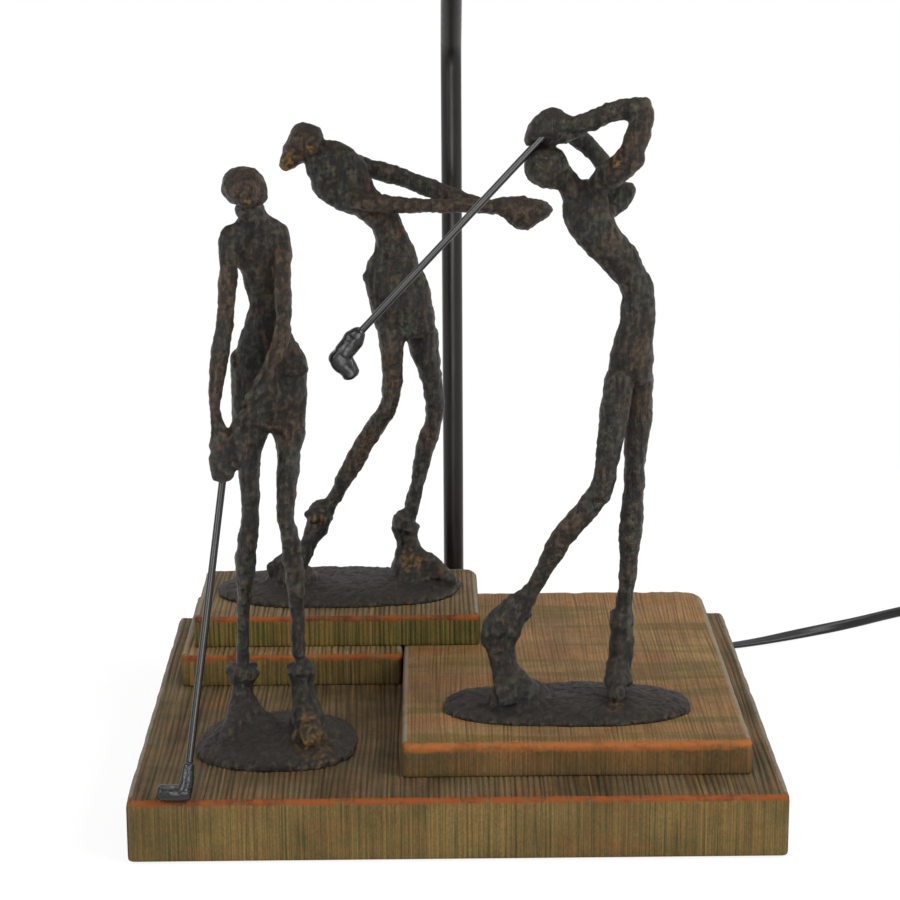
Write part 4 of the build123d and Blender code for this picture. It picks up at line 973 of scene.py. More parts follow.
    def build(self) -> None:
        """Make the camera, floor, lights and sky, and set the plain view."""
        self.camera()
        self.floor()
        for plan in self.lights:
            self.lamp(plan)
        # a card below the lens that only glossy surfaces see, for the light line along limbs
        card = self.lamp(self.low_card)
        card.visible_diffuse = False
        card.visible_camera = False
        self.sky()
        bpy.context.scene.view_settings.view_transform = "Standard"
        LOG.info("studio: camera, floor, %d soft lights and a card", len(self.lights))


# ---- Cord ------------------------------------------------------------------------------
@dataclass
class FlatCord:
    """The flat two-core cord: from the bushing round the base to a wound coil and its plug."""

    width: float = 7.0
    thickness: float = 3.6
    centre: tuple[float, float] = (374.5, 229.5)
    outer_r: float = 43.0
    step: float = 2.175
    low_z: float = 4.4
    rise: float = 7.5
    entry_angle: float = 120.0
    half_turns: int = 5
    knots: int = 8
    lead_z: float = 4.4
    exit: Point = (1.5, 154.0, 10.5)
    run: tuple[Point, ...] = (
        (1.5, 174.0, 10.5), (13.5, 195.5, 8.0), (37.0, 209.0, 5.2), (71.0, 207.0, 3.4),
        (112.0, 194.5, 2.2), (151.0, 182.5, 2.0), (178.0, 179.5, 2.1), (204.0, 187.5, 2.5),
        (239.0, 203.5, 3.3), (274.5, 220.5, 3.9),
    )
    lead: float = 7.0
    run_last: float = 46.0
    tail_first: float = 24.0
    tail_bends: tuple[tuple[float, float], ...] = ((16.5, 19.5), (25.0, 42.0))
    plug_z: float = 6.75
    flat_from: tuple[float, float] = (70.0, 130.0)
    edge_from: tuple[float, float] = (215.0, 350.0)
    length: float = 1806.0
    points: list[Vector] = field(default_factory=list)
    end: Vector = field(default_factory=Vector)
    plug_at: Vector = field(default_factory=Vector)
    plug_way: Vector = field(default_factory=Vector)

    def way(self, angle: float) -> Vector:
        """Unit direction in plan for an angle in degrees from +X."""
        return Vector((math.cos(math.radians(angle)), math.sin(math.radians(angle)), 0.0))

    def turns(self) -> list[Vector]:
        """Control points of the coil's half turns: in along the table, up, and out on top.

        Returns:
            The coil's control points, and the last is a little short of where it ends.
        """
        count = self.half_turns
        inner = [self.outer_r - self.step * k for k in range(count)]
        radii = inner + [self.outer_r - self.step * count] + inner[::-1]
        inward = self.way(self.entry_angle + 180)
        spot = Vector((*self.centre, self.low_z)) - inward * self.outer_r
        side, angle = inward, self.entry_angle
        half = 90 / self.knots
        made = []
        for k, radius in enumerate(radii):
            climbing = self.rise if k == count else 0.0
            middle = spot + side * radius
            reach = radius / math.cos(math.radians(half))
            for i in range(self.knots):
                turn = math.radians(angle - half * (2 * i + 1))
                height = climbing * (i + 0.5) / self.knots
                x, y = math.cos(turn) * reach, math.sin(turn) * reach
                made.append(middle + Vector((x, y, height)))
            spot = spot + side * (2 * radius) + Vector((0, 0, climbing))
            side, angle = -side, angle - 180
        self.end = spot
        return made

    def route(self) -> list[Vector]:
        """The whole line of control points, from the bushing to the plug.

        Returns:
            Points in millimetres.
        """
        heading = self.way(self.entry_angle - 90)
        inward = self.way(self.entry_angle + 180)
        entry = Vector((*self.centre, self.lead_z)) - inward * self.outer_r
        lead_in = entry - heading * self.lead
        turns = self.turns()
        out = self.end - heading * self.lead
        first = out - heading * self.tail_first
        tail = [
            Vector((first.x - left, first.y - forward, self.plug_z))
            for left, forward in self.tail_bends
        ]
        self.plug_at, self.plug_way = tail[-1], (tail[-1] - tail[-2]).normalized()
        run = [Vector(p) for p in (self.exit, *self.run)]
        return [*run, lead_in - heading * self.run_last, lead_in, *turns, out, first, *tail]

    def centreline(self) -> list[Vector]:
        """Read the smooth line off the route's spline.

        Returns:
            Points in millimetres, some 3 mm apart.
        """
        curve = bpy.data.curves.new("cord_line", "CURVE")
        curve.dimensions = "3D"
        spline = curve.splines.new("NURBS")
        route = self.route()
        spline.points.add(len(route) - 1)
        for place, point in zip(route, spline.points):
            point.co = (*(place * MM), 1.0)
        spline.order_u = 3
        spline.use_endpoint_u = True
        spline.resolution_u = 6
        holder = placed("cord_line", curve)
        bpy.context.view_layer.update()
        line = bpy.data.meshes.new_from_object(holder)
        points = [v.co / MM for v in line.vertices]
        bpy.data.objects.remove(holder)
        bpy.data.meshes.remove(line)
        bpy.data.curves.remove(curve)
        return points

    def lay_angle(self, along: float) -> float:
        """How far the cord is rolled from on edge towards flat, a length from the bushing.

        Args:
            along: Distance from the bushing, in millimetres.

        Returns:
            Angle in radians.
        """
        flat = smoothstep(*self.flat_from, along) * (1 - smoothstep(*self.edge_from, along))
        return flat * math.pi / 2

    def section(self, bm: Mesh, place: Matrix) -> Edges:
        """One section of the cord: two round cores joined by a thin web.

        Args:
            bm: Mesh that gets it.
            place: Its frame: across, up and along.

        Returns:
            Its edges.
        """
        made = bmesh.ops.create_circle(bm, cap_ends=False, segments=20, radius=1.0)["verts"]
        for vert in made:
            up = vert.co.y
            waist = 1.0 - 0.2 * math.exp(-((up / 0.22) ** 2))
            across = math.copysign(abs(vert.co.x) ** 0.75, vert.co.x) * waist
            vert.co = Vector((across * self.thickness / 2, up * self.width / 2, 0.0))
        bmesh.ops.transform(bm, matrix=place, verts=made)
        return edges_of(made)

    def build(self) -> Piece:
        """Returns:
            The cord's mesh.
        """
        self.points = self.centreline()
        bm = bmesh.new()
        rings = []
        along = 0.0
        last = len(self.points) - 1
        for i, point in enumerate(self.points):
            if i:
                along += (point - self.points[i - 1]).length
            way = (self.points[min(i + 1, last)] - self.points[max(i - 1, 0)]).normalized()
            across = way.cross(Vector((0, 0, 1))).normalized()
            up = across.cross(way).normalized()
            roll = self.lay_angle(along)
            side = across * math.cos(roll) + up * math.sin(roll)
            top = up * math.cos(roll) - across * math.sin(roll)
            place = Matrix((side, top, way)).transposed().to_4x4()
            rings.append(self.section(bm, Matrix.Translation(point) @ place))
        bridge(bm, rings)
        bmesh.ops.recalc_face_normals(bm, faces=bm.faces)
        stands_for = ("cord_run", "cord_coil", "cord_tail")
        return finished_piece(
            "flat_cord", bm, CORD_VINYL.material(), replaces=stands_for
        )

    def sleeve(self) -> Piece:
        """The ribbed, tapered sleeve that keeps the cord from kinking where it leaves the base.

        Returns:
            The sleeve.
        """
        # how far along, half the width and half the height
        stations = [(-0.8, 4.9, 5.2), (1.5, 4.7, 5.2)]
        for k in range(5):
            slim = 1 - 0.1 * k
            near = 3.0 + 4.0 * k
            stations += [
                (near, 3.4 * slim, 4.6 - 0.15 * k),
                (near + 0.5, 4.2 * slim, 5.1 - 0.2 * k),
                (near + 2.2, 4.1 * slim, 5.05 - 0.2 * k),
                (near + 2.7, 3.3 * slim, 4.5 - 0.15 * k),
            ]
        stations.append((22.5, 2.15, 3.85))
        bm = bmesh.new()
        level = Matrix(((1, 0, 0, 0), (0, 0, 1, 0), (0, 1, 0, 0), (0, 0, 0, 1)))
        rings = []
        for along, across, up in stations:
            place = Matrix.Translation(Vector(self.exit) + Vector((0, along, 0))) @ level
            rings.append(soft_square(bm, place, (across, up), 0.6, 24))
        bridge(bm, rings)
        bmesh.ops.recalc_face_normals(bm, faces=bm.faces)
        return finished_piece("cord_sleeve", bm, CORD_VINYL.material())


@dataclass
class Plug:
    """A moulded two-blade plug with a ribbed, tapered strain relief."""

    neck_l: float = 24.0
    neck_w: float = 9.0
    neck_h: float = 9.5
    body_l: float = 27.0
    body_w: float = 25.0
    body_h: float = 13.5
    ribs: int = 6

    def build(self, at: Vector, way: Vector) -> Piece:
        """Build the plug's body along the cord's last direction.

        Args:
            at: Where the cord enters it.
            way: The way it points.

        Returns:
            The plug's body.
        """
        side = Vector((0, 0, 1)).cross(way).normalized()
        up = way.cross(side).normalized()
        lie = Matrix.Translation(at) @ Matrix((side, up, way)).transposed().to_4x4()
        stations = [(0.0, self.neck_w * 0.92, self.neck_h * 0.95)]
        pitch = self.neck_l / self.ribs
        for k in range(self.ribs):
            grow = 1 + 0.3 * (k + 1) / self.ribs
            near, far = k * pitch + 0.25 * pitch, k * pitch + 0.75 * pitch
            w, h = self.neck_w * grow, self.neck_h * (1 + 0.08 * (k + 1) / self.ribs)
            stations += [(near, w, h), (far, w, h), (far + 0.5, w * 0.86, h * 0.9)]
        body = self.neck_l
        stations.append((body + 1.0, self.neck_w * 1.4, self.neck_h * 1.12))
        # the body's waist, where fingers grip it
        for on, wide, high in (
            (4.5, 0.82, 0.93), (8.5, 0.985, 1.0), (11.0, 0.93, 0.99), (15.0, 0.9, 0.98),
            (19.0, 0.93, 0.99), (22.0, 1.0, 1.0), (self.body_l - 0.8, 1.0, 1.0),
        ):
            stations.append((body + on, self.body_w * wide, self.body_h * high))
        stations.append((body + self.body_l, self.body_w - 1.4, self.body_h - 1.4))
        bm = bmesh.new()
        rings = []
        for along, width, height in stations:
            place = lie @ Matrix.Translation((0, 0, along))
            rings.append(soft_square(bm, place, (width / 2, height / 2), 0.45, 32))
        bridge(bm, rings)
        bmesh.ops.recalc_face_normals(bm, faces=bm.faces)
        plug = finished_piece(
            "moulded_plug", bm, PLUG_VINYL.material(), replaces=("plug_body",)
        )
        edge = plug.modifiers.new("soft_edges", "BEVEL")
        edge.width = 0.0004
        edge.segments = 2
        edge.limit_method = "ANGLE"
        return plug


# ---- Boards ----------------------------------------------------------------------------
@dataclass(frozen=True)
class Comb:
    """How the comb marked a board: the furrows' spacing, depth and raggedness."""

    pitch: float = 2.9
    depth: float = 0.55
    ragged: float = 0.5
    seed: float = 0.0

    def furrow(self, x: float, run: float) -> float:
        """How deep the furrow is at a place, from 0 on a ridge to 1.

        Args:
            x: Place across the comb, in millimetres.
            run: Place along it, carried on down the board's front and back.

        Returns:
            Depth as a share of the comb's own.
        """
        drift = 2.6 * noise.noise(Vector((x * 0.04, run * 0.008, self.seed)))
        drift += 0.9 * noise.noise(Vector((x * 0.17, run * 0.01, self.seed + 19)))
        place = (x + drift) / self.pitch
        index = math.floor(place)
        jump = 0.4 * noise.noise(Vector((index * 1.7, run * 0.01, self.seed + 3)))
        off = abs(place - index - 0.5 - jump)
        width = 0.27 + 0.22 * noise.noise(Vector((index * 2.3, run * 0.02, self.seed + 7)))
        cut = max(0.0, 1 - off / max(0.12, width))
        weight = 1 - self.ragged * (
            0.5 + 0.9 * noise.noise(Vector((index * 3.1, run * 0.016, self.seed + 11)))
        )
        return min(1.0, max(0.0, cut**0.6 * weight))


@dataclass
class CombedBoard:
    """One board of the base: combed top and edges, rubbed arrises, worn plan corners."""

    name: str
    node: str
    slot: str
    finish: Finish
    x: tuple[float, float]
    y: tuple[float, float]
    z: tuple[float, float]
    comb: Comb
    arris_r: float = 2.3
    corner_r: float = 2.5
    worn_corner_r: float = 2.5
    rows_mm: float = 9.0
    wear: float = 0.9
    marks: tuple[str, ...] = ("furrow", "arris", "scuff")

    def rows(self) -> list[float]:
        """Places of the rows front to back, closer together near both ends."""
        low, high = self.y[0] + self.arris_r, self.y[1] - self.arris_r
        near = [0.0, 0.6, 1.4, 2.6, 4.5, 8.0, 12.0]
        middle = int((high - low - 24) / self.rows_mm)
        inner = [low + 12 + (high - low - 24) * i / middle for i in range(1, middle)]
        return [low + d for d in near] + inner + [high - d for d in reversed(near)]

    def columns(self) -> list[float]:
        """Places of the columns, six to a furrow."""
        low, high = self.x[0] + self.arris_r, self.x[1] - self.arris_r
        count = int((high - low) / self.comb.pitch * 6)
        return [low + (high - low) * i / count for i in range(count + 1)]

    def rounded(self, x: float, y: float) -> tuple[float, float, Vector]:
        """Move a place on the square top in under the rounded plan corners.

        Args:
            x: Place across.
            y: Place front to back.

        Returns:
            The place moved, and the way out of the board there.
        """
        west, east = self.x[0] + self.arris_r, self.x[1] - self.arris_r
        south, north = self.y[0] + self.arris_r, self.y[1] - self.arris_r
        way_x = -1.0 if x < (west + east) / 2 else 1.0
        way_y = -1.0 if y < (south + north) / 2 else 1.0
        edge_x, edge_y = (west if way_x < 0 else east), (south if way_y < 0 else north)
        worn = way_x > 0 and way_y > 0
        radius = (self.worn_corner_r if worn else self.corner_r) - 0.4 * self.arris_r
        a = 1 - abs(edge_x - x) / radius
        b = 1 - abs(edge_y - y) / radius
        if a > 0 and b > 0:
            turn = math.atan2(b, a)
            reach = max(a, b) * radius
            centre = (edge_x - way_x * radius, edge_y - way_y * radius)
            way = Vector((way_x * math.cos(turn), way_y * math.sin(turn), 0))
            return centre[0] + way.x * reach, centre[1] + way.y * reach, way
        if abs(edge_x - x) < 1e-6:
            return x, y, Vector((way_x, 0, 0))
        return x, y, Vector((0, way_y, 0))

    def face(self, bm: Mesh) -> Ways:
        """Lay out the top face, with its plan corners rounded.

        Args:
            bm: Mesh that gets it.

        Returns:
            Place and way out of the board for each point on its edge.
        """
        columns, rows = self.columns(), self.rows()
        across, along = len(columns) - 1, len(rows) - 1
        bmesh.ops.create_grid(bm, x_segments=across, y_segments=along, size=1.0)
        ways: Ways = {}
        for vert in bm.verts:
            i = round((vert.co.x + 1) / 2 * across)
            j = round((vert.co.y + 1) / 2 * along)
            x, y, way = self.rounded(columns[i], rows[j])
            vert.co = Vector((x, y, self.z[1]))
            if vert.is_boundary:
                ways[vert] = (x, y, way)
        return ways

    def skirt(self, bm: Mesh, ways: Ways) -> None:
        """Roll the arris over, drop the edges and close the underside.

        Args:
            bm: Mesh with the top face.
            ways: Place and way out for each point on the face's edge.
        """
        top = self.z[1]
        rounds = [math.radians(22.5 * k) for k in (1, 2, 3, 4)]
        drop = top - self.z[0]
        levels = [(self.arris_r * math.sin(t), self.arris_r * (1 - math.cos(t))) for t in rounds]
        wall = (0.08, 0.2, 0.4, 0.6, 0.8, 0.94)
        levels += [(self.arris_r, self.arris_r + (drop - self.arris_r) * s) for s in wall]
        levels += [(self.arris_r - 0.15, drop - 0.4), (self.arris_r - 0.6, drop)]
        edges = [edge for edge in bm.edges if edge.is_boundary]
        for outward, down in levels:
            made = bmesh.ops.extrude_edge_only(bm, edges=edges)["geom"]
            fresh = [g for g in made if isinstance(g, bmesh.types.BMVert)]
            edges = [g for g in made if isinstance(g, bmesh.types.BMEdge)]
            onward = {}
            for vert in fresh:
                partner = next(
                    e.other_vert(vert) for e in vert.link_edges if e.other_vert(vert) in ways
                )
                x, y, way = ways[partner]
                vert.co = Vector((x + way.x * outward, y + way.y * outward, top - down))
                onward[vert] = (x, y, way)
            ways = onward
        bmesh.ops.edgeloop_fill(bm, edges=edges)
        bmesh.ops.recalc_face_normals(bm, faces=bm.faces)

    def carve(self, bm: Mesh) -> None:
        """Cut the furrows, rub the arrises and note both for the finish."""
        furrow, arris, scuff = (bm.verts.layers.float[name] for name in self.marks)
        bm.normal_update()
        top, bottom = self.z[1], self.z[0] + 0.2
        for vert in bm.verts:
            x, y, z = vert.co
            front = y < self.y[0] + self.arris_r + 14
            run = y - (top - z) if front else y + (top - z)
            cut = self.comb.furrow(x, run)
            flank = abs(vert.normal.x) > 0.75
            vert[furrow] = 0.0 if flank else cut
            top_gap = max(0.0, min(y - self.y[0] - self.arris_r, self.y[1] - self.arris_r - y))
            side_gap = max(0.0, min(x - self.x[0] - self.arris_r, self.x[1] - self.arris_r - x))
            gap = min(top_gap, side_gap) if z > top - 0.05 else 0.0
            fall = max(0.0, top - z - self.arris_r)
            at_front = y < self.y[0] + self.arris_r + 3
            reach = 0.45 * self.wear if at_front else 1.0
            rub = math.exp(-((gap / reach) ** 2) - (fall / (self.wear if at_front else 1.0)) ** 2)
            vert[arris] = rub if at_front else 0.0
            vert[scuff] = 0.0 if at_front else rub
            upright = abs(vert.normal.z) < 0.3
            depth = self.comb.depth * (0.35 if upright else 1.0) * (0.0 if flank else cut)
            depth *= 1 - 0.75 * rub
            swell = 0.35 * noise.noise(Vector((x * 0.02, y * 0.02, z * 0.05)))
            nick = 0.8 * rub * noise.noise(Vector((x * 0.12, y * 0.12, z * 0.3 + 5)))
            if z > bottom:
                vert.co = vert.co - vert.normal * (depth - 0.3 * swell + abs(nick))

    def build(self) -> Piece:
        """Comb, round and wear one board.

        Returns:
            The board, which stands for its node.
        """
        bm = bmesh.new()
        for name in self.marks:
            bm.verts.layers.float.new(name)
        self.skirt(bm, self.face(bm))
        self.carve(bm)
        return finished_piece(
            self.name, bm, self.finish.material(), replaces=(self.node,)
        )


# ---- Castings --------------------------------------------------------------------------
def flowing(stations: Sequence[Station], steps: int = 3) -> list[Station]:
    """Add stations between the given ones, on a smooth curve through them all.

    Args:
        stations: Centre, half width and half depth of each.
        steps: How many spans each gap becomes.

    Returns:
        The longer list.
    """
    made: list[Station] = []
    last = len(stations) - 1
    for k in range(last):
        before, start, end, after = (
            stations[max(k - 1, 0)], stations[k], stations[k + 1], stations[min(k + 2, last)]
        )
        for i in range(steps):
            t = i / steps
            made.append(
                tuple(
                    0.5
                    * (
                        2 * b
                        + (c - a) * t
                        + (2 * a - 5 * b + 4 * c - d) * t * t
                        + (3 * b - a - 3 * c + d) * t**3
                    )
                    for a, b, c, d in zip(before, start, end, after)
                )
            )
    made.append(stations[last])
    return made


def limb(bm: Mesh, stations: Sequence[Station], closing: float = 0.6) -> None:
    """Add one closed form through its stations, with rounded ends.

    Args:
        bm: Mesh that gets it.
        stations: Centre, half width across the view and half depth of each.
        closing: How far its ends bulge, as a share of their width.
    """
    line = flowing(stations)
    last = len(line) - 1
    rings = []
    for i, (x, y, z, wide, deep) in enumerate(line):
        here = Vector((x, y, z))
        way = Vector(line[min(i + 1, last)][:3]) - Vector(line[max(i - 1, 0)][:3])
        way.normalize()
        back = Vector((0, 1, 0))
        back = (back - way * back.dot(way)).normalized()
        side = back.cross(way).normalized()
        turn = Matrix((side, back, way)).transposed().to_4x4()
        ends = [(0.0, 1.0)]
        bulge = closing * min(wide, deep)
        if i == 0:
            ends = [(-bulge, 0.35), (-0.75 * bulge, 0.72), (0.0, 1.0)]
        elif i == last:
            ends = [(0.0, 1.0), (0.75 * bulge, 0.72), (bulge, 0.35)]
        for off, share in ends:
            size = Matrix.Diagonal((wide * share, deep * share, 1.0, 1.0))
            place = Matrix.Translation(here + way * off)
            rings.append(ring(bm, place @ turn @ size, 20))
    bridge(bm, rings)


def knob(bm: Mesh, centre: Point, radii: Point) -> None:
    """Add one rounded lump, such as a skull or a jaw."""
    size = Matrix.Diagonal((*radii, 1.0))
    bmesh.ops.create_icosphere(
        bm, subdivisions=4, radius=1.0, matrix=Matrix.Translation(Vector(centre)) @ size
    )


@dataclass
class Casting:
    """A cast metal form: limbs and lumps run together, with the skin of the mould."""

    name: str
    node: str
    slot: str
    finish: Finish
    forms: Forms
    lumps: tuple[tuple[Point, Point], ...] = ()
    mound: Optional[tuple[float, float, float, float, float]] = None
    mound_h: float = 9.0
    mound_steps: tuple[tuple[float, float], ...] = (
        (0.0, 1.0), (0.18, 1.005), (0.34, 0.98), (0.5, 0.91), (0.68, 0.77), (0.84, 0.56),
        (0.95, 0.3),
    )
    bare_spots: tuple[tuple[Point, float], ...] = ()
    handled_spots: tuple[tuple[Point, float], ...] = ()
    closing: float = 0.45
    voxel: float = 1.0
    lump_mm: float = 0.75
    stroke_mm: float = 0.55
    grain_mm: float = 0.3
    smooth_times: int = 3
    seed: float = 0.0

    def foot(self, bm: Mesh) -> None:
        """Add the mound that the figure stands on, an uneven oval with a rolled edge."""
        x, y, level, wide, deep = self.mound
        rings = []
        for rise, share in ((-0.4, 1.0), *self.mound_steps):
            made = bmesh.ops.create_circle(bm, cap_ends=False, segments=72, radius=1.0)["verts"]
            for vert in made:
                turn = math.atan2(vert.co.y, vert.co.x)
                wander = noise.noise(
                    Vector((math.cos(turn) * 1.3, math.sin(turn) * 1.3, self.seed + rise * 0.2))
                )
                reach = share * (1 + 0.07 * wander)
                squarer = (abs(math.cos(turn)) ** 2.5 + abs(math.sin(turn)) ** 2.5) ** -0.4
                vert.co = Vector(
                    (
                        x + math.cos(turn) * squarer * reach * wide,
                        y + math.sin(turn) * squarer * reach * deep,
                        level + rise * self.mound_h,
                    )
                )
            rings.append(edges_of(made))
        bridge(bm, rings)

    def fused(self) -> Mesh:
        """Run all the forms together into one skin.

        Returns:
            The skin, in millimetres.
        """
        bm = bmesh.new()
        for stations in self.forms.values():
            limb(bm, stations, self.closing)
        for centre, radii in self.lumps:
            knob(bm, centre, radii)
        if self.mound:
            self.foot(bm)
        bmesh.ops.recalc_face_normals(bm, faces=bm.faces)
        mesh = bpy.data.meshes.new(f"{self.name}_forms")
        bm.to_mesh(mesh)
        bm.free()
        holder = placed(f"{self.name}_forms", mesh)
        remesh = holder.modifiers.new("one_skin", "REMESH")
        remesh.mode = "VOXEL"
        remesh.voxel_size = self.voxel
        remesh.adaptivity = 0.0
        bpy.context.view_layer.update()
        skin = bpy.data.meshes.new_from_object(
            holder.evaluated_get(bpy.context.evaluated_depsgraph_get())
        )
        bm = bmesh.new()
        bm.from_mesh(skin)
        bpy.data.objects.remove(holder)
        bpy.data.meshes.remove(mesh)
        bpy.data.meshes.remove(skin)
        for _ in range(self.smooth_times):
            bmesh.ops.smooth_vert(
                bm, verts=bm.verts, factor=0.5, use_axis_x=True, use_axis_y=True, use_axis_z=True
            )
        return bm

    def nearness(self, place: Vector, spots: Sequence[tuple[Point, float]]) -> float:
        """How near a place is to any of the spots, from 0 to 1."""
        gaps = [(place - Vector(spot)).length / size for spot, size in spots]
        return max((1 - smoothstep(0.3, 1.0, gap) for gap in gaps), default=0.0)

    def roughen(self, bm: Mesh) -> None:
        """Give the skin its lumps, strokes and grain, and note how high each place stands."""
        bm.normal_update()
        relief, gilt, handled = (
            bm.verts.layers.float.new(name) for name in ("relief", "gilt", "handled")
        )
        moved = []
        for vert in bm.verts:
            place = vert.co + Vector((0, 0, self.seed * 37))
            lumps = noise.noise(place / 8.5)
            stroke = noise.noise(Vector((place.x / 2.4, place.y / 2.4, place.z / 13.0)))
            knobs = noise.noise(place / 4.4)
            grain = noise.noise(place / 2.1)
            around = Vector((0, 0, 0))
            for edge in vert.link_edges:
                around += edge.other_vert(vert).co
            bulge = (vert.co - around / len(vert.link_edges)).dot(vert.normal)
            rise = self.lump_mm * (lumps + 0.75 * knobs)
            rise += self.stroke_mm * stroke + self.grain_mm * grain
            height = 0.5 + 0.22 * knobs + 0.4 * stroke + 0.55 * grain + 1.4 * (bulge - 0.06)
            vert[relief] = min(1.0, max(0.0, height))
            vert[gilt] = self.nearness(vert.co, self.bare_spots)
            vert[handled] = self.nearness(vert.co, self.handled_spots)
            moved.append((vert, vert.normal * rise))
        for vert, step in moved:
            vert.co = vert.co + step

    def build(self) -> Piece:
        """Make the casting.

        Returns:
            The piece, which stands for its node.
        """
        bm = self.fused()
        self.roughen(bm)
        if self.mound:
            level = self.mound[2]
            bmesh.ops.bisect_plane(
                bm,
                geom=[*bm.verts, *bm.edges, *bm.faces],
                plane_co=(0, 0, level),
                plane_no=(0, 0, 1),
                clear_inner=True,
            )
            bmesh.ops.edgeloop_fill(bm, edges=[edge for edge in bm.edges if edge.is_boundary])
        bmesh.ops.recalc_face_normals(bm, faces=bm.faces)
        return finished_piece(
            self.name, bm, self.finish.material(), replaces=(self.node,)
        )


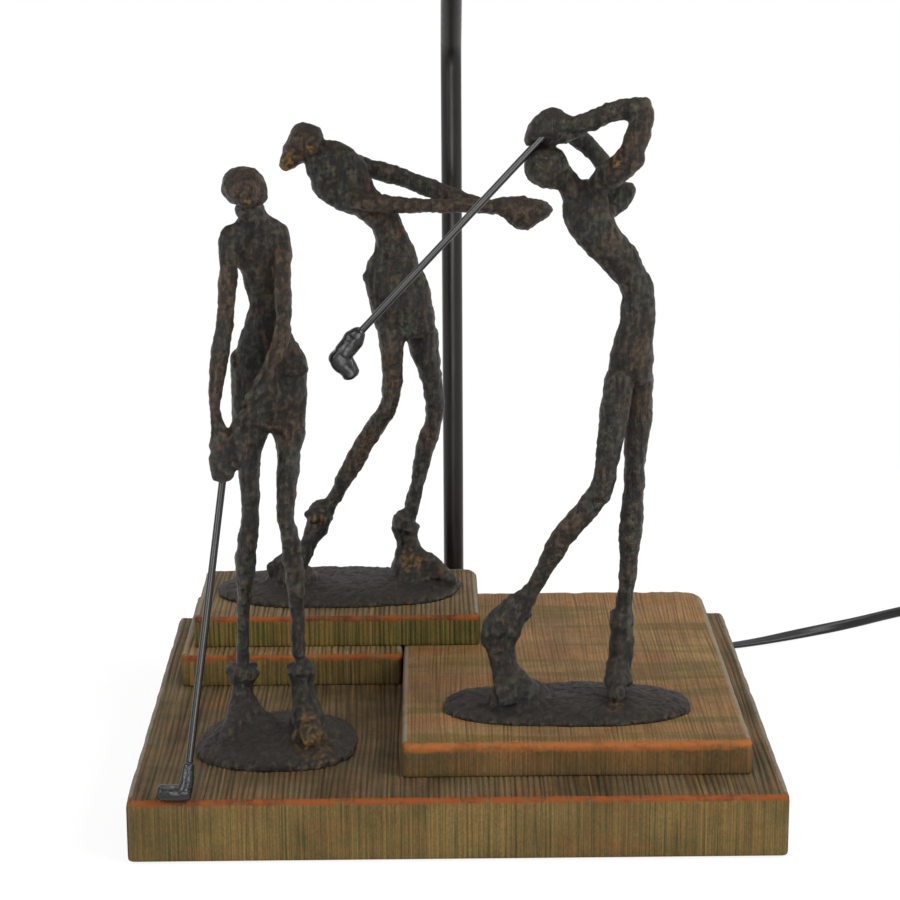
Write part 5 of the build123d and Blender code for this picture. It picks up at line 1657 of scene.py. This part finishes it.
# Each form: centre x, y, z, then half its width across the view and half its depth.
# The golfer at address: head bowed, arms down to the hands, feet on one mound.
ADDRESS_FORMS: Forms = {
    "torso": (
        (-106.5, -80.0, 338.3, 9.0, 6.5),
        (-105.9, -79.0, 333.3, 15.1, 7.5),
        (-104.6, -77.0, 325.7, 17.6, 8.0),
        (-103.6, -75.0, 317.5, 14.8, 8.0),
        (-102.3, -73.0, 309.0, 11.8, 7.5),
        (-102.1, -72.0, 299.0, 10.2, 7.0),
        (-101.0, -72.0, 290.7, 8.9, 7.0),
        (-101.8, -72.0, 278.9, 12.1, 8.5),
        (-101.6, -72.5, 266.6, 17.0, 10.0),
        (-100.4, -72.5, 256.6, 21.2, 11.8),
        (-100.6, -72.5, 250.2, 20.6, 11.2),
        (-100.8, -72.5, 235.6, 20.6, 10.5),
        (-101.5, -72.5, 223.0, 19.7, 8.5),
    ),
    "neck": (
        (-109.2, -84.0, 345.4, 7.3, 7.0),
        (-106.5, -82.0, 340.3, 7.8, 7.0),
        (-105.0, -80.0, 334.6, 8.3, 7.0),
    ),
    "arm_left": (
        (-114.5, -82.0, 330.7, 4.5, 5.5),
        (-117.7, -85.0, 329.6, 6.4, 5.2),
        (-119.0, -87.0, 318.5, 5.6, 5.0),
        (-120.1, -89.0, 305.1, 5.1, 4.8),
        (-121.2, -91.0, 291.8, 4.9, 4.8),
        (-122.5, -93.0, 281.6, 4.4, 4.8),
        (-125.2, -95.0, 266.9, 5.1, 5.2),
        (-127.2, -97.0, 252.0, 4.1, 4.6),
        (-128.3, -99.0, 242.1, 3.3, 3.8),
        (-128.0, -100.0, 234.7, 3.2, 3.8),
        (-126.0, -101.0, 226.6, 4.6, 5.0),
        (-125.3, -102.0, 218.6, 5.9, 6.2),
        (-124.9, -103.5, 209.6, 6.7, 6.6),
        (-123.9, -104.5, 202.6, 6.3, 5.8),
    ),
    "arm_right": (
        (-97.5, -77.5, 332.5, 4.4, 5.0),
        (-92.9, -77.0, 326.4, 4.8, 5.4),
        (-90.9, -78.5, 320.8, 4.6, 5.4),
        (-91.2, -80.5, 309.5, 4.5, 5.2),
        (-90.9, -82.5, 296.0, 4.0, 4.8),
        (-91.5, -85.5, 278.9, 4.2, 4.8),
        (-94.0, -88.0, 269.2, 4.0, 4.6),
        (-98.8, -91.0, 258.9, 3.4, 4.2),
        (-103.3, -93.5, 249.5, 3.0, 3.8),
        (-109.3, -96.5, 240.3, 2.5, 3.2),
        (-114.0, -97.0, 234.5, 2.4, 3.0),
        (-117.8, -100.0, 227.7, 3.0, 3.8),
        (-116.5, -102.0, 221.6, 4.0, 5.0),
        (-116.5, -103.5, 214.2, 4.0, 4.8),
        (-116.9, -104.0, 207.7, 2.7, 3.2),
    ),
    "sleeve_edge": (
        (-94.1, -82.6, 333.6, 1.2, 1.2),
        (-93.9, -84.4, 319.4, 1.3, 1.4),
        (-94.4, -86.4, 295.6, 1.3, 1.4),
        (-95.0, -90.0, 280.1, 1.3, 1.4),
        (-99.5, -94.4, 265.8, 1.2, 1.3),
        (-106.5, -98.4, 251.8, 1.1, 1.2),
        (-114.0, -100.6, 240.0, 0.9, 1.0),
    ),
    "leg_left": (
        (-112.4, -73.5, 238.8, 8.7, 9.0),
        (-111.3, -73.5, 223.3, 10.0, 8.5),
        (-112.3, -74.0, 213.0, 8.3, 8.0),
        (-112.8, -75.0, 204.0, 6.8, 7.2),
        (-112.5, -76.0, 194.0, 5.7, 6.4),
        (-112.2, -77.0, 181.8, 5.2, 5.8),
        (-112.5, -78.0, 170.1, 5.0, 5.6),
        (-114.8, -76.0, 155.7, 5.6, 5.6),
        (-116.5, -73.0, 143.8, 6.1, 5.8),
        (-117.4, -70.0, 130.6, 4.7, 5.0),
        (-118.4, -68.0, 118.8, 3.7, 4.2),
        (-119.4, -65.0, 96.4, 3.5, 3.6),
        (-119.8, -64.0, 83.0, 4.1, 3.8),
    ),
    "leg_right": (
        (-89.9, -71.0, 236.6, 9.5, 9.0),
        (-90.8, -71.0, 219.7, 9.0, 8.6),
        (-90.9, -73.0, 207.8, 6.9, 7.6),
        (-91.4, -76.0, 198.4, 6.1, 7.0),
        (-92.2, -80.0, 185.3, 5.5, 6.2),
        (-92.8, -83.0, 172.5, 4.8, 5.6),
        (-90.8, -83.0, 162.8, 5.3, 5.6),
        (-89.8, -81.0, 151.2, 5.3, 5.6),
        (-88.8, -79.0, 138.5, 5.4, 5.4),
        (-88.2, -77.0, 122.7, 4.2, 4.4),
        (-87.7, -76.0, 107.1, 4.0, 3.9),
        (-87.9, -75.5, 91.0, 4.2, 3.8),
    ),
    "shoe_left": (
        (-119.9, -64.0, 81.8, 4.4, 4.2),
        (-120.2, -64.0, 80.0, 7.6, 6.6),
        (-120.4, -64.0, 77.0, 8.8, 7.4),
        (-120.5, -64.0, 73.4, 8.3, 6.9),
        (-120.5, -64.2, 71.2, 6.6, 6.1),
        (-120.6, -64.5, 67.9, 6.2, 6.0),
        (-120.4, -66.0, 60.6, 7.8, 8.0),
        (-119.5, -69.0, 54.5, 10.8, 11.0),
        (-118.5, -70.0, 49.0, 16.0, 15.0),
        (-118.0, -71.0, 44.0, 23.0, 20.0),
    ),
    "shoe_right": (
        (-87.0, -75.5, 87.5, 4.4, 4.2),
        (-86.4, -75.5, 85.6, 6.9, 6.2),
        (-86.3, -75.5, 82.0, 7.9, 6.9),
        (-86.5, -75.5, 77.6, 7.4, 6.6),
        (-86.3, -75.8, 74.4, 6.3, 6.0),
        (-85.0, -78.0, 64.8, 7.4, 7.6),
        (-83.9, -81.0, 57.3, 9.6, 10.5),
        (-83.6, -81.0, 51.0, 12.5, 13.5),
        (-83.0, -80.0, 45.0, 18.0, 18.0),
    ),
    "toe_left": (
        (-119.8, -68.0, 58.1, 6.5, 6.0),
        (-123.9, -80.0, 51.9, 6.5, 6.0),
        (-129.4, -90.0, 45.0, 4.6, 2.6),
    ),
    "toe_right": (
        (-84.1, -80.0, 61.7, 7.1, 6.0),
        (-81.8, -92.0, 53.8, 5.8, 4.8),
        (-81.2, -101.0, 47.6, 4.0, 2.4),
    ),
}

# The golfer after the stroke: leaning back, both arms out level to the hands.
FOLLOW_FORMS: Forms = {
    "torso": (
        (-82.1, 89.0, 346.5, 10.3, 6.5),
        (-75.7, 90.0, 343.6, 14.9, 8.0),
        (-70.1, 90.0, 338.8, 17.5, 9.5),
        (-64.2, 90.0, 332.1, 17.9, 10.0),
        (-58.9, 90.0, 326.1, 14.9, 9.5),
        (-52.7, 90.0, 320.6, 11.2, 9.0),
        (-45.3, 90.0, 314.5, 9.8, 8.2),
        (-39.6, 90.0, 307.5, 9.0, 8.0),
        (-36.2, 90.0, 300.1, 9.4, 8.2),
        (-33.8, 90.0, 288.8, 13.0, 9.0),
        (-34.5, 90.0, 279.6, 16.6, 10.5),
        (-34.1, 90.0, 272.9, 18.3, 11.5),
        (-30.9, 90.0, 262.4, 18.9, 11.3),
        (-28.8, 90.0, 250.6, 18.8, 11.0),
        (-26.6, 90.0, 238.7, 18.1, 9.5),
    ),
    "arm_far": (
        (-61.5, 97.0, 343.2, 6.0, 6.0),
        (-50.8, 100.0, 339.0, 5.8, 5.4),
        (-40.9, 101.0, 335.9, 5.9, 5.2),
        (-28.9, 101.5, 332.4, 5.6, 5.0),
        (-13.9, 101.0, 326.6, 5.6, 4.8),
        (0.9, 99.0, 321.8, 5.3, 4.2),
        (15.6, 96.0, 316.4, 5.0, 3.6),
        (26.4, 93.0, 314.2, 3.6, 3.4),
    ),
    "arm_near": (
        (-67.0, 87.5, 324.5, 5.2, 5.0), (-56.0, 82.5, 322.7, 5.8, 5.4),
        (-45.0, 79.0, 320.5, 5.5, 5.4), (-32.4, 79.0, 319.3, 5.3, 5.2),
        (-18.4, 79.5, 318.4, 4.5, 4.8), (-3.2, 81.0, 318.4, 4.2, 4.4),
        (11.8, 84.0, 317.6, 4.4, 4.0), (23.9, 87.0, 316.7, 4.4, 4.0),
    ),
    "hands": (
        (25.1, 89.0, 316.4, 4.4, 4.6), (31.2, 90.0, 316.2, 5.8, 6.4),
        (37.8, 90.0, 314.5, 8.2, 7.2), (45.0, 90.0, 312.0, 10.6, 7.4),
        (51.6, 90.0, 313.3, 7.6, 6.8), (58.0, 90.0, 314.2, 5.2, 5.2),
        (60.7, 90.0, 314.6, 2.7, 3.2),
    ),
    "leg_front": (
        (-35.8, 85.0, 241.8, 9.1, 9.0), (-35.9, 84.0, 230.8, 7.3, 8.4),
        (-36.0, 84.0, 218.3, 6.4, 7.4), (-36.4, 83.0, 206.4, 6.0, 6.8),
        (-39.1, 83.0, 192.5, 5.4, 6.4), (-46.0, 83.5, 182.7, 5.7, 6.0),
        (-53.1, 84.0, 172.2, 5.8, 5.8), (-59.5, 84.0, 159.8, 6.1, 5.4),
        (-66.9, 84.5, 146.9, 5.3, 4.6), (-73.2, 85.0, 135.3, 4.4, 4.2),
        (-77.7, 85.0, 128.3, 4.9, 4.4),
    ),
    "leg_rear": (
        (-17.6, 95.0, 238.9, 9.8, 9.5), (-16.4, 96.0, 226.7, 9.2, 9.0),
        (-13.8, 97.0, 216.4, 7.5, 8.2), (-11.3, 98.0, 204.1, 6.1, 7.2),
        (-10.0, 98.0, 192.4, 5.6, 6.6), (-11.3, 98.0, 180.6, 5.4, 6.2),
        (-14.8, 97.5, 170.2, 5.9, 6.0), (-18.2, 97.0, 156.9, 5.2, 5.6),
        (-20.8, 96.5, 144.5, 4.5, 5.0), (-23.9, 96.0, 131.0, 4.6, 4.4),
        (-26.8, 95.5, 119.5, 4.2, 4.4),
    ),
    "shoe_front": (
        (-76.1, 85.0, 130.8, 4.9, 4.4),
        (-79.9, 85.0, 127.9, 8.0, 6.6),
        (-82.3, 85.0, 122.2, 7.8, 6.2),
        (-84.5, 85.0, 115.1, 7.2, 5.8),
        (-89.3, 85.0, 107.0, 5.2, 5.0),
        (-93.2, 85.0, 100.2, 6.7, 6.0),
        (-98.2, 84.0, 93.7, 10.0, 8.0),
        (-98.8, 84.5, 88.0, 13.5, 11.0),
        (-99.0, 86.0, 82.0, 19.0, 14.0),
    ),
    "toe_front": (
        (-90.2, 85.0, 105.7, 5.2, 5.0),
        (-102.8, 84.0, 95.2, 5.9, 5.4),
        (-114.1, 83.0, 89.5, 4.8, 3.2),
    ),
    "shoe_rear": (
        (-26.1, 95.0, 121.6, 4.6, 4.6),
        (-29.4, 95.0, 118.1, 8.3, 6.8),
        (-28.9, 95.0, 112.5, 7.9, 6.6),
        (-27.7, 94.5, 105.5, 6.9, 5.8),
        (-26.7, 94.0, 98.4, 9.0, 6.6),
        (-25.8, 93.0, 91.5, 12.4, 9.0),
        (-25.2, 92.0, 84.6, 15.0, 11.0),
        (-24.6, 91.0, 80.5, 18.5, 14.0),
    ),
    "toe_rear": (
        (-23.5, 94.0, 99.0, 2.9, 5.0), (-15.1, 92.0, 91.1, 6.7, 6.5), (-6.1, 90.0, 84.4, 5.6, 5.5),
        (0.7, 88.0, 78.7, 3.6, 3.5),
    ),
}

# The golfer at the top of the backswing: hands by the head, one elbow high.
SWING_FORMS: Forms = {
    "torso": (
        (66.2, -68.0, 351.3, 8.8, 7.0),
        (69.8, -68.0, 343.7, 12.6, 8.8),
        (73.0, -68.0, 333.5, 12.8, 9.2),
        (79.6, -68.0, 323.5, 11.0, 9.0),
        (88.4, -68.0, 313.6, 10.4, 8.6),
        (94.7, -68.0, 305.2, 9.2, 8.0),
        (99.4, -68.0, 295.2, 8.5, 8.0),
        (100.1, -68.0, 287.2, 9.5, 8.2),
        (99.0, -68.0, 276.2, 9.9, 8.6),
        (97.7, -68.0, 265.7, 11.2, 9.0),
        (96.4, -68.0, 256.7, 11.9, 9.2),
        (95.7, -68.0, 246.7, 12.3, 8.8),
    ),
    "neck": (
        (56.5, -69.0, 360.6, 5.5, 6.5),
        (61.0, -69.0, 354.3, 6.4, 6.8),
        (65.6, -68.5, 348.0, 7.6, 7.3),
    ),
    "arm_near_upper": (
        (74.0, -69.0, 345.0, 5.0, 6.0),
        (79.0, -74.5, 355.8, 6.4, 6.5),
        (85.6, -82.0, 362.0, 7.6, 6.5),
        (90.9, -85.0, 367.2, 7.5, 6.2),
        (94.1, -86.5, 374.7, 6.1, 6.0),
        (96.5, -87.0, 381.4, 6.5, 5.8),
        (99.3, -87.0, 390.2, 6.0, 5.8),
        (101.4, -86.5, 394.9, 4.2, 5.2),
    ),
    "deltoid": (
        (90.2, -84.0, 363.6, 5.6, 5.5),
        (96.0, -84.5, 368.1, 5.2, 5.6),
        (96.6, -85.5, 372.2, 4.2, 4.4),
    ),
    "blade": (
        (79.0, -63.0, 335.0, 5.5, 5.0), (86.0, -60.5, 341.5, 6.8, 5.2),
        (91.5, -60.0, 346.3, 6.6, 5.2), (95.2, -60.0, 350.6, 4.6, 4.4),
    ),
    "arm_near_fore": (
        (100.8, -86.5, 394.6, 6.2, 5.8),
        (97.5, -86.0, 395.2, 6.6, 5.8),
        (89.0, -84.5, 394.8, 6.0, 5.6),
        (82.0, -83.0, 393.1, 5.3, 5.2),
        (75.1, -81.5, 390.0, 5.3, 5.0),
        (69.1, -80.0, 387.5, 5.2, 5.0),
        (63.5, -78.5, 385.5, 5.4, 5.2),
    ),
    "arm_far": (
        (82.5, -62.0, 356.5, 5.4, 5.2), (79.3, -58.0, 365.4, 4.8, 5.0),
        (72.7, -57.0, 371.9, 5.1, 5.0), (67.7, -58.0, 376.7, 5.2, 4.8),
        (62.7, -61.0, 381.1, 5.0, 4.8),
    ),
    "hands": (
        (64.6, -77.0, 385.0, 6.1, 5.4),
        (58.7, -75.0, 384.1, 8.6, 7.0),
        (52.1, -73.0, 384.7, 10.1, 7.6),
        (46.6, -72.0, 382.9, 7.9, 7.2),
        (42.2, -71.5, 379.2, 4.9, 6.2),
        (39.4, -71.0, 376.5, 2.9, 4.0),
    ),
    "leg_front": (
        (90.0, -74.0, 250.6, 7.7, 8.5), (88.2, -75.0, 236.1, 8.0, 8.0),
        (86.4, -76.0, 221.5, 7.7, 7.4), (84.4, -77.0, 210.2, 6.7, 6.8),
        (82.7, -78.0, 198.0, 6.3, 6.4), (80.6, -78.0, 187.5, 6.2, 6.2),
        (75.8, -77.0, 179.3, 6.5, 6.0), (68.3, -75.5, 169.4, 6.5, 5.8),
        (61.0, -74.5, 160.8, 6.8, 5.6), (54.5, -73.5, 149.3, 6.1, 5.2),
        (49.0, -73.0, 139.0, 5.0, 4.8), (43.2, -72.5, 127.5, 4.9, 4.6),
        (36.8, -72.5, 119.1, 6.9, 5.2),
    ),
    "leg_rear": (
        (101.7, -62.0, 247.8, 7.4, 8.5),
        (101.4, -62.0, 233.9, 7.4, 8.0),
        (101.4, -63.0, 221.7, 7.7, 7.4),
        (100.6, -64.0, 210.0, 6.7, 7.0),
        (99.6, -65.0, 197.7, 5.9, 6.4),
        (99.3, -65.0, 185.1, 5.8, 6.0),
        (98.4, -65.0, 170.7, 6.1, 5.8),
        (97.4, -65.0, 156.2, 6.5, 5.6),
        (97.2, -65.0, 146.3, 5.7, 5.4),
        (96.9, -64.5, 137.9, 5.0, 5.2),
        (95.8, -64.5, 125.0, 4.8, 4.8),
        (94.4, -64.0, 107.7, 5.5, 5.0),
    ),
    "shoe_front": (
        (36.6, -72.5, 118.8, 9.0, 5.2),
        (31.3, -72.5, 112.7, 9.6, 6.6),
        (26.2, -72.5, 104.8, 11.3, 7.4),
        (24.3, -72.5, 99.5, 10.7, 7.0),
        (25.7, -72.5, 89.7, 7.9, 6.8),
        (27.0, -73.5, 80.8, 7.8, 8.0),
        (30.9, -76.0, 73.1, 11.4, 11.0),
        (32.4, -75.0, 67.0, 14.5, 13.5),
        (34.0, -73.0, 61.5, 20.0, 17.0),
    ),
    "toe_front": (
        (26.0, -75.0, 81.2, 6.2, 5.6), (27.0, -83.0, 72.5, 5.6, 5.0), (28.5, -90.0, 66.0, 4.6, 2.8)
    ),
    "shoe_rear": (
        (93.7, -64.0, 110.7, 6.8, 5.2), (93.5, -64.0, 103.6, 7.0, 6.0),
        (93.9, -64.0, 98.5, 6.2, 4.8), (93.8, -64.0, 94.0, 6.9, 6.0),
        (93.5, -64.0, 84.5, 6.8, 6.0), (92.3, -65.0, 77.7, 6.7, 7.0),
        (91.7, -67.0, 70.6, 9.0, 10.0),
    ),
    "toe_rear": (
        (90.7, -67.0, 81.4, 6.0, 5.6), (90.0, -76.0, 73.1, 5.6, 5.2), (89.2, -84.0, 66.5, 4.6, 2.8)
    ),
}


# Irons: a hosel running down into a blade, as stations like the figures' own.
ADDRESS_IRON: Forms = {
    "hosel": (
        (-143.6, -148.2, 56.0, 2.9, 2.9),
        (-144.2, -149.6, 51.0, 3.3, 3.3),
        (-144.9, -151.0, 46.0, 3.9, 4.2),
        (-145.6, -152.4, 42.5, 4.0, 4.6),
    ),
    "blade": (
        (-144.2, -152.6, 41.8, 4.7, 4.0),
        (-148.5, -152.7, 41.5, 4.4, 4.2),
        (-154.0, -152.8, 41.6, 4.6, 4.4),
        (-158.6, -152.8, 41.9, 4.8, 4.4),
    ),
}
SWING_IRON: Forms = {
    "hosel": (
        (-50.5, -66.0, 273.4, 3.4, 3.4),
        (-54.0, -66.0, 269.6, 5.6, 4.2),
        (-57.0, -66.0, 265.4, 5.4, 4.6),
        (-60.6, -66.0, 261.2, 5.6, 4.8),
    ),
    "blade": (
        (-64.6, -66.0, 261.0, 5.4, 4.4),
        (-61.4, -66.0, 257.4, 6.4, 4.6),
        (-58.2, -66.0, 253.2, 5.6, 4.4),
        (-55.8, -66.0, 249.2, 5.0, 4.2),
    ),
}


def cuff(centre: Point, reach: float, size: float) -> tuple[tuple[Point, Point], ...]:
    """Seven uneven lumps round an ankle, where the sock is rolled down.

    Args:
        centre: Middle of the ankle.
        reach: How far out the lumps sit.
        size: Their radius.

    Returns:
        Centre and radii of each lump.
    """
    made = []
    for k in range(7):
        turn = 2 * math.pi * k / 7 + 0.3 * centre[0]
        drop = 1.1 * math.sin(3.7 * k + centre[1])
        place = (
            centre[0] + reach * math.cos(turn),
            centre[1] + 0.85 * reach * math.sin(turn),
            centre[2] + drop,
        )
        swell = size * (1 + 0.25 * math.sin(5.1 * k + centre[2]))
        made.append((place, (swell, swell, swell * 0.8)))
    return tuple(made)


def castings() -> list[Casting]:
    """The three golfers and their two irons.

    Returns:
        The castings, in the order that they are made.
    """
    # the irons are small, so their skin is finer
    fine = {"voxel": 0.5, "stroke_mm": 0.15, "grain_mm": 0.12}
    return [
        Casting(
            "cast_golfer_address", "golfer_address", "bronze", BRONZE, ADDRESS_FORMS,
            lumps=(
                ((-110.5, -90.0, 357.0), (11.6, 12.5, 10.6)),
                ((-103.5, -93.0, 353.5), (6.2, 7.0, 7.0)),
                ((-108.0, -95.5, 352.0), (5.6, 5.6, 5.2)),
                ((-119.6, -73.0, 258.5), (2.2, 5.0, 5.0)),
                ((-81.2, -74.0, 254.6), (2.6, 6.0, 2.6)),
                ((-87.4, -83.2, 255.2), (7.5, 1.6, 1.5)),
                *cuff((-120.4, -64.0, 78.0), 7.6, 2.6),
                *cuff((-86.4, -75.5, 82.5), 6.6, 2.4),
            ),
            handled_spots=(
                ((-110.0, -100.0, 357.0), 16.0),
                ((-122.0, -90.0, 300.0), 26.0),
                ((-126.0, -97.0, 250.0), 26.0),
                ((-88.0, -80.0, 310.0), 24.0),
                ((-91.0, -92.0, 272.0), 22.0),
                ((-90.0, -84.0, 225.0), 18.0),
            ),
            mound=(-100.5, -73.0, 36.5, 45.0, 40.0),
            mound_h=12.0,
            bare_spots=(
                ((-107.5, -102.0, 349.0), 5.0),
                ((-80.0, -98.0, 46.0), 20.0),
                ((-84.0, -93.0, 58.0), 9.0),
            ),
            seed=1.0,
        ),
        Casting(
            "cast_golfer_follow_through", "golfer_follow_through", "bronze", BRONZE, FOLLOW_FORMS,
            lumps=(
                ((-86.0, 90.0, 356.4), (10.8, 10.8, 10.8)),
                ((-91.3, 89.0, 351.0), (8.4, 8.4, 8.4)),
                ((-95.8, 87.5, 345.4), (5.6, 6.0, 5.4)),
                ((-98.2, 86.0, 342.2), (4.0, 4.6, 3.6)),
                ((-50.2, 88.0, 274.4), (3.4, 5.0, 3.4)),
                ((-82.0, 80.5, 353.0), (3.6, 2.6, 4.2)),
                *cuff((-82.0, 85.0, 124.5), 6.8, 2.4),
                *cuff((-28.8, 95.0, 114.5), 7.0, 2.4),
            ),
            handled_spots=(
                ((-88.0, 80.0, 352.0), 17.0), ((-30.0, 82.0, 318.0), 26.0),
                ((5.0, 82.0, 318.0), 26.0), ((45.0, 84.0, 312.0), 18.0),
                ((-48.0, 80.0, 318.0), 16.0), ((-40.0, 80.0, 220.0), 26.0),
                ((-55.0, 80.0, 170.0), 26.0), ((-20.0, 85.0, 180.0), 22.0),
            ),
            mound=(-70.5, 90.0, 74.5, 75.5, 35.5),
            mound_h=9.5,
            bare_spots=(
                ((-97.0, 82.0, 345.0), 12.0), ((-83.0, 79.0, 353.0), 4.5),
                ((-26.0, 84.0, 96.0), 12.0), ((-82.0, 79.0, 124.0), 7.0),
            ),
            seed=2.0,
        ),
        Casting(
            "cast_golfer_backswing", "golfer_backswing", "bronze", BRONZE, SWING_FORMS,
            lumps=(
                ((49.6, -70.0, 363.4), (11.6, 11.5, 11.8)),
                ((53.6, -71.0, 357.6), (7.4, 8.0, 6.6)),
                *cuff((26.5, -72.5, 104.0), 8.6, 3.2),
                *cuff((93.6, -64.0, 105.0), 5.6, 2.0),
            ),
            handled_spots=(
                ((88.0, -90.0, 372.0), 18.0), ((105.0, -84.0, 385.0), 20.0),
                ((104.0, -74.0, 262.0), 18.0), ((100.0, -72.0, 235.0), 18.0),
                ((60.0, -80.0, 165.0), 20.0), ((66.0, -80.0, 360.0), 12.0),
            ),
            mound=(63.0, -67.0, 55.5, 70.5, 30.5),
            mound_h=9.0,
            bare_spots=(
                ((85.0, -88.0, 369.0), 7.0), ((80.0, -80.0, 360.0), 5.0), ((88.0, -88.0, 62.0), 8.0)
            ),
            seed=3.0,
        ),
        Casting(
            "cast_iron_at_address", "address_club_head", "club_steel", HEAD_IRON, ADDRESS_IRON,
            lump_mm=0.35, seed=4.0, **fine,
        ),
        Casting(
            "cast_iron_in_swing", "backswing_club_head", "club_steel", HEAD_IRON, SWING_IRON,
            lump_mm=0.4, seed=5.0, **fine,
        ),
    ]


def boards() -> list[CombedBoard]:
    """The slab and the three boards on it.

    Returns:
        The boards, lowest first.
    """
    return [
        CombedBoard(
            "combed_slab", "base_slab", "slab_wood", SLAB_PINE, (-178.0, 178.0), (-152.5, 152.5),
            (1.5, 36.5),
            Comb(pitch=3.0, depth=0.7, seed=1.0),
        ),
        CombedBoard(
            "combed_front_board", "front_right_board", "board_wood", FRONT_PINE, (-30.5, 161.5),
            (-123.0, 140.5), (36.5, 55.5),
            Comb(pitch=2.2, depth=0.3, ragged=0.8, seed=2.0),
            worn_corner_r=13.0,
            arris_r=2.6,
            wear=3.4,
        ),
        CombedBoard(
            "combed_rear_board", "rear_left_board", "board_wood", REAR_PINE, (-164.5, -30.9),
            (22.0, 140.5), (36.5, 55.5),
            Comb(pitch=3.1, depth=0.5, seed=3.0),
            wear=2.0,
        ),
        CombedBoard(
            "combed_top_board", "top_board", "board_wood", TOP_PINE, (-157.5, 16.0), (38.0, 133.5),
            (55.5, 74.5),
            Comb(pitch=3.1, depth=0.5, seed=4.0),
            wear=1.5,
            worn_corner_r=9.0,
        ),
    ]


def shade_tapes() -> None:
    """The two cloth tapes that bind the shade's edges, standing 0.7 mm proud of the skin."""
    low_z, low_r, high_z, high_r, wide = 536.2, 203.0, 798.2, 128.0, 9.0
    slope = (high_r - low_r) / (high_z - low_z)
    for name, start, end in (
        ("shade_tape_bottom", low_z - 0.4, low_z + wide),
        ("shade_tape_top", high_z - wide, high_z + 0.4),
    ):
        outline = []
        for height, proud in (
            (start, 0.1), (start + 0.1, 0.6), (start + 0.6, 0.75), (end - 0.6, 0.75),
            (end - 0.1, 0.6), (end, 0.1), (start, 0.1),
        ):
            outline.append((low_r + slope * (height - low_z) + proud, height))
        bm = bmesh.new()
        turned(bm, outline, (1.5, 20.0, 0.0), steps=128)
        bmesh.ops.recalc_face_normals(bm, faces=bm.faces)
        finished_piece(name, bm, RIM_TAPE.material(), body=Body.SHADE)


# ---- The frame's own nodes ---------------------------------------------------------------
NODE_FINISHES: dict[Finish, tuple[str, ...]] = {
    FELT: ("felt_pad",),
    TUBE: ("pole", "harp_saddle", "harp", "shade_spider"),
    SHAFT_STEEL: ("address_club_shaft", "backswing_club_shaft"),
    ZINC: (
        "screw_address", "screw_follow_through", "screw_backswing", "foot_nipple", "top_nipple",
        "foot_washer", "foot_nut", "shade_bottom_ring",
    ),
    BRASS: (
        "finial", "harp_sleeve_left", "harp_sleeve_right", "screw_shell", "centre_contact",
        "plug_prong_line", "plug_prong_neutral",
    ),
    SHELL_METAL: ("lampholder_cap", "lampholder_shell"),
    PAPERBOARD: ("lampholder_liner",),
    PHENOLIC: ("lampholder_core", "switch_knob"),
    CORD_VINYL: ("lead_inside", "cord_tie", "cord_bushing"),
    LINEN: ("shade_skin",),
}


def dress_nodes() -> None:
    """Give each frame node that stays its own finish."""
    for finish, names in NODE_FINISHES.items():
        for name in names:
            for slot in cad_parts[name].material_slots:
                slot.material = finish.material()
    LOG.info("dressed %d nodes", sum(len(names) for names in NODE_FINISHES.values()))


def main() -> None:
    """Build the scene in order: camera, cord, boards, figures, clubs, shade and finishes."""
    logging.basicConfig(level=logging.INFO, format="%(name)s: %(message)s")
    Studio().build()
    cord = FlatCord()
    flex = cord.build()
    plug = Plug().build(cord.plug_at, cord.plug_way)
    cord.sleeve()
    for board in boards():
        board.build()
    for casting in castings():
        casting.build()
    shade_tapes()
    dress_nodes()


if __name__ == "__main__":
    main()
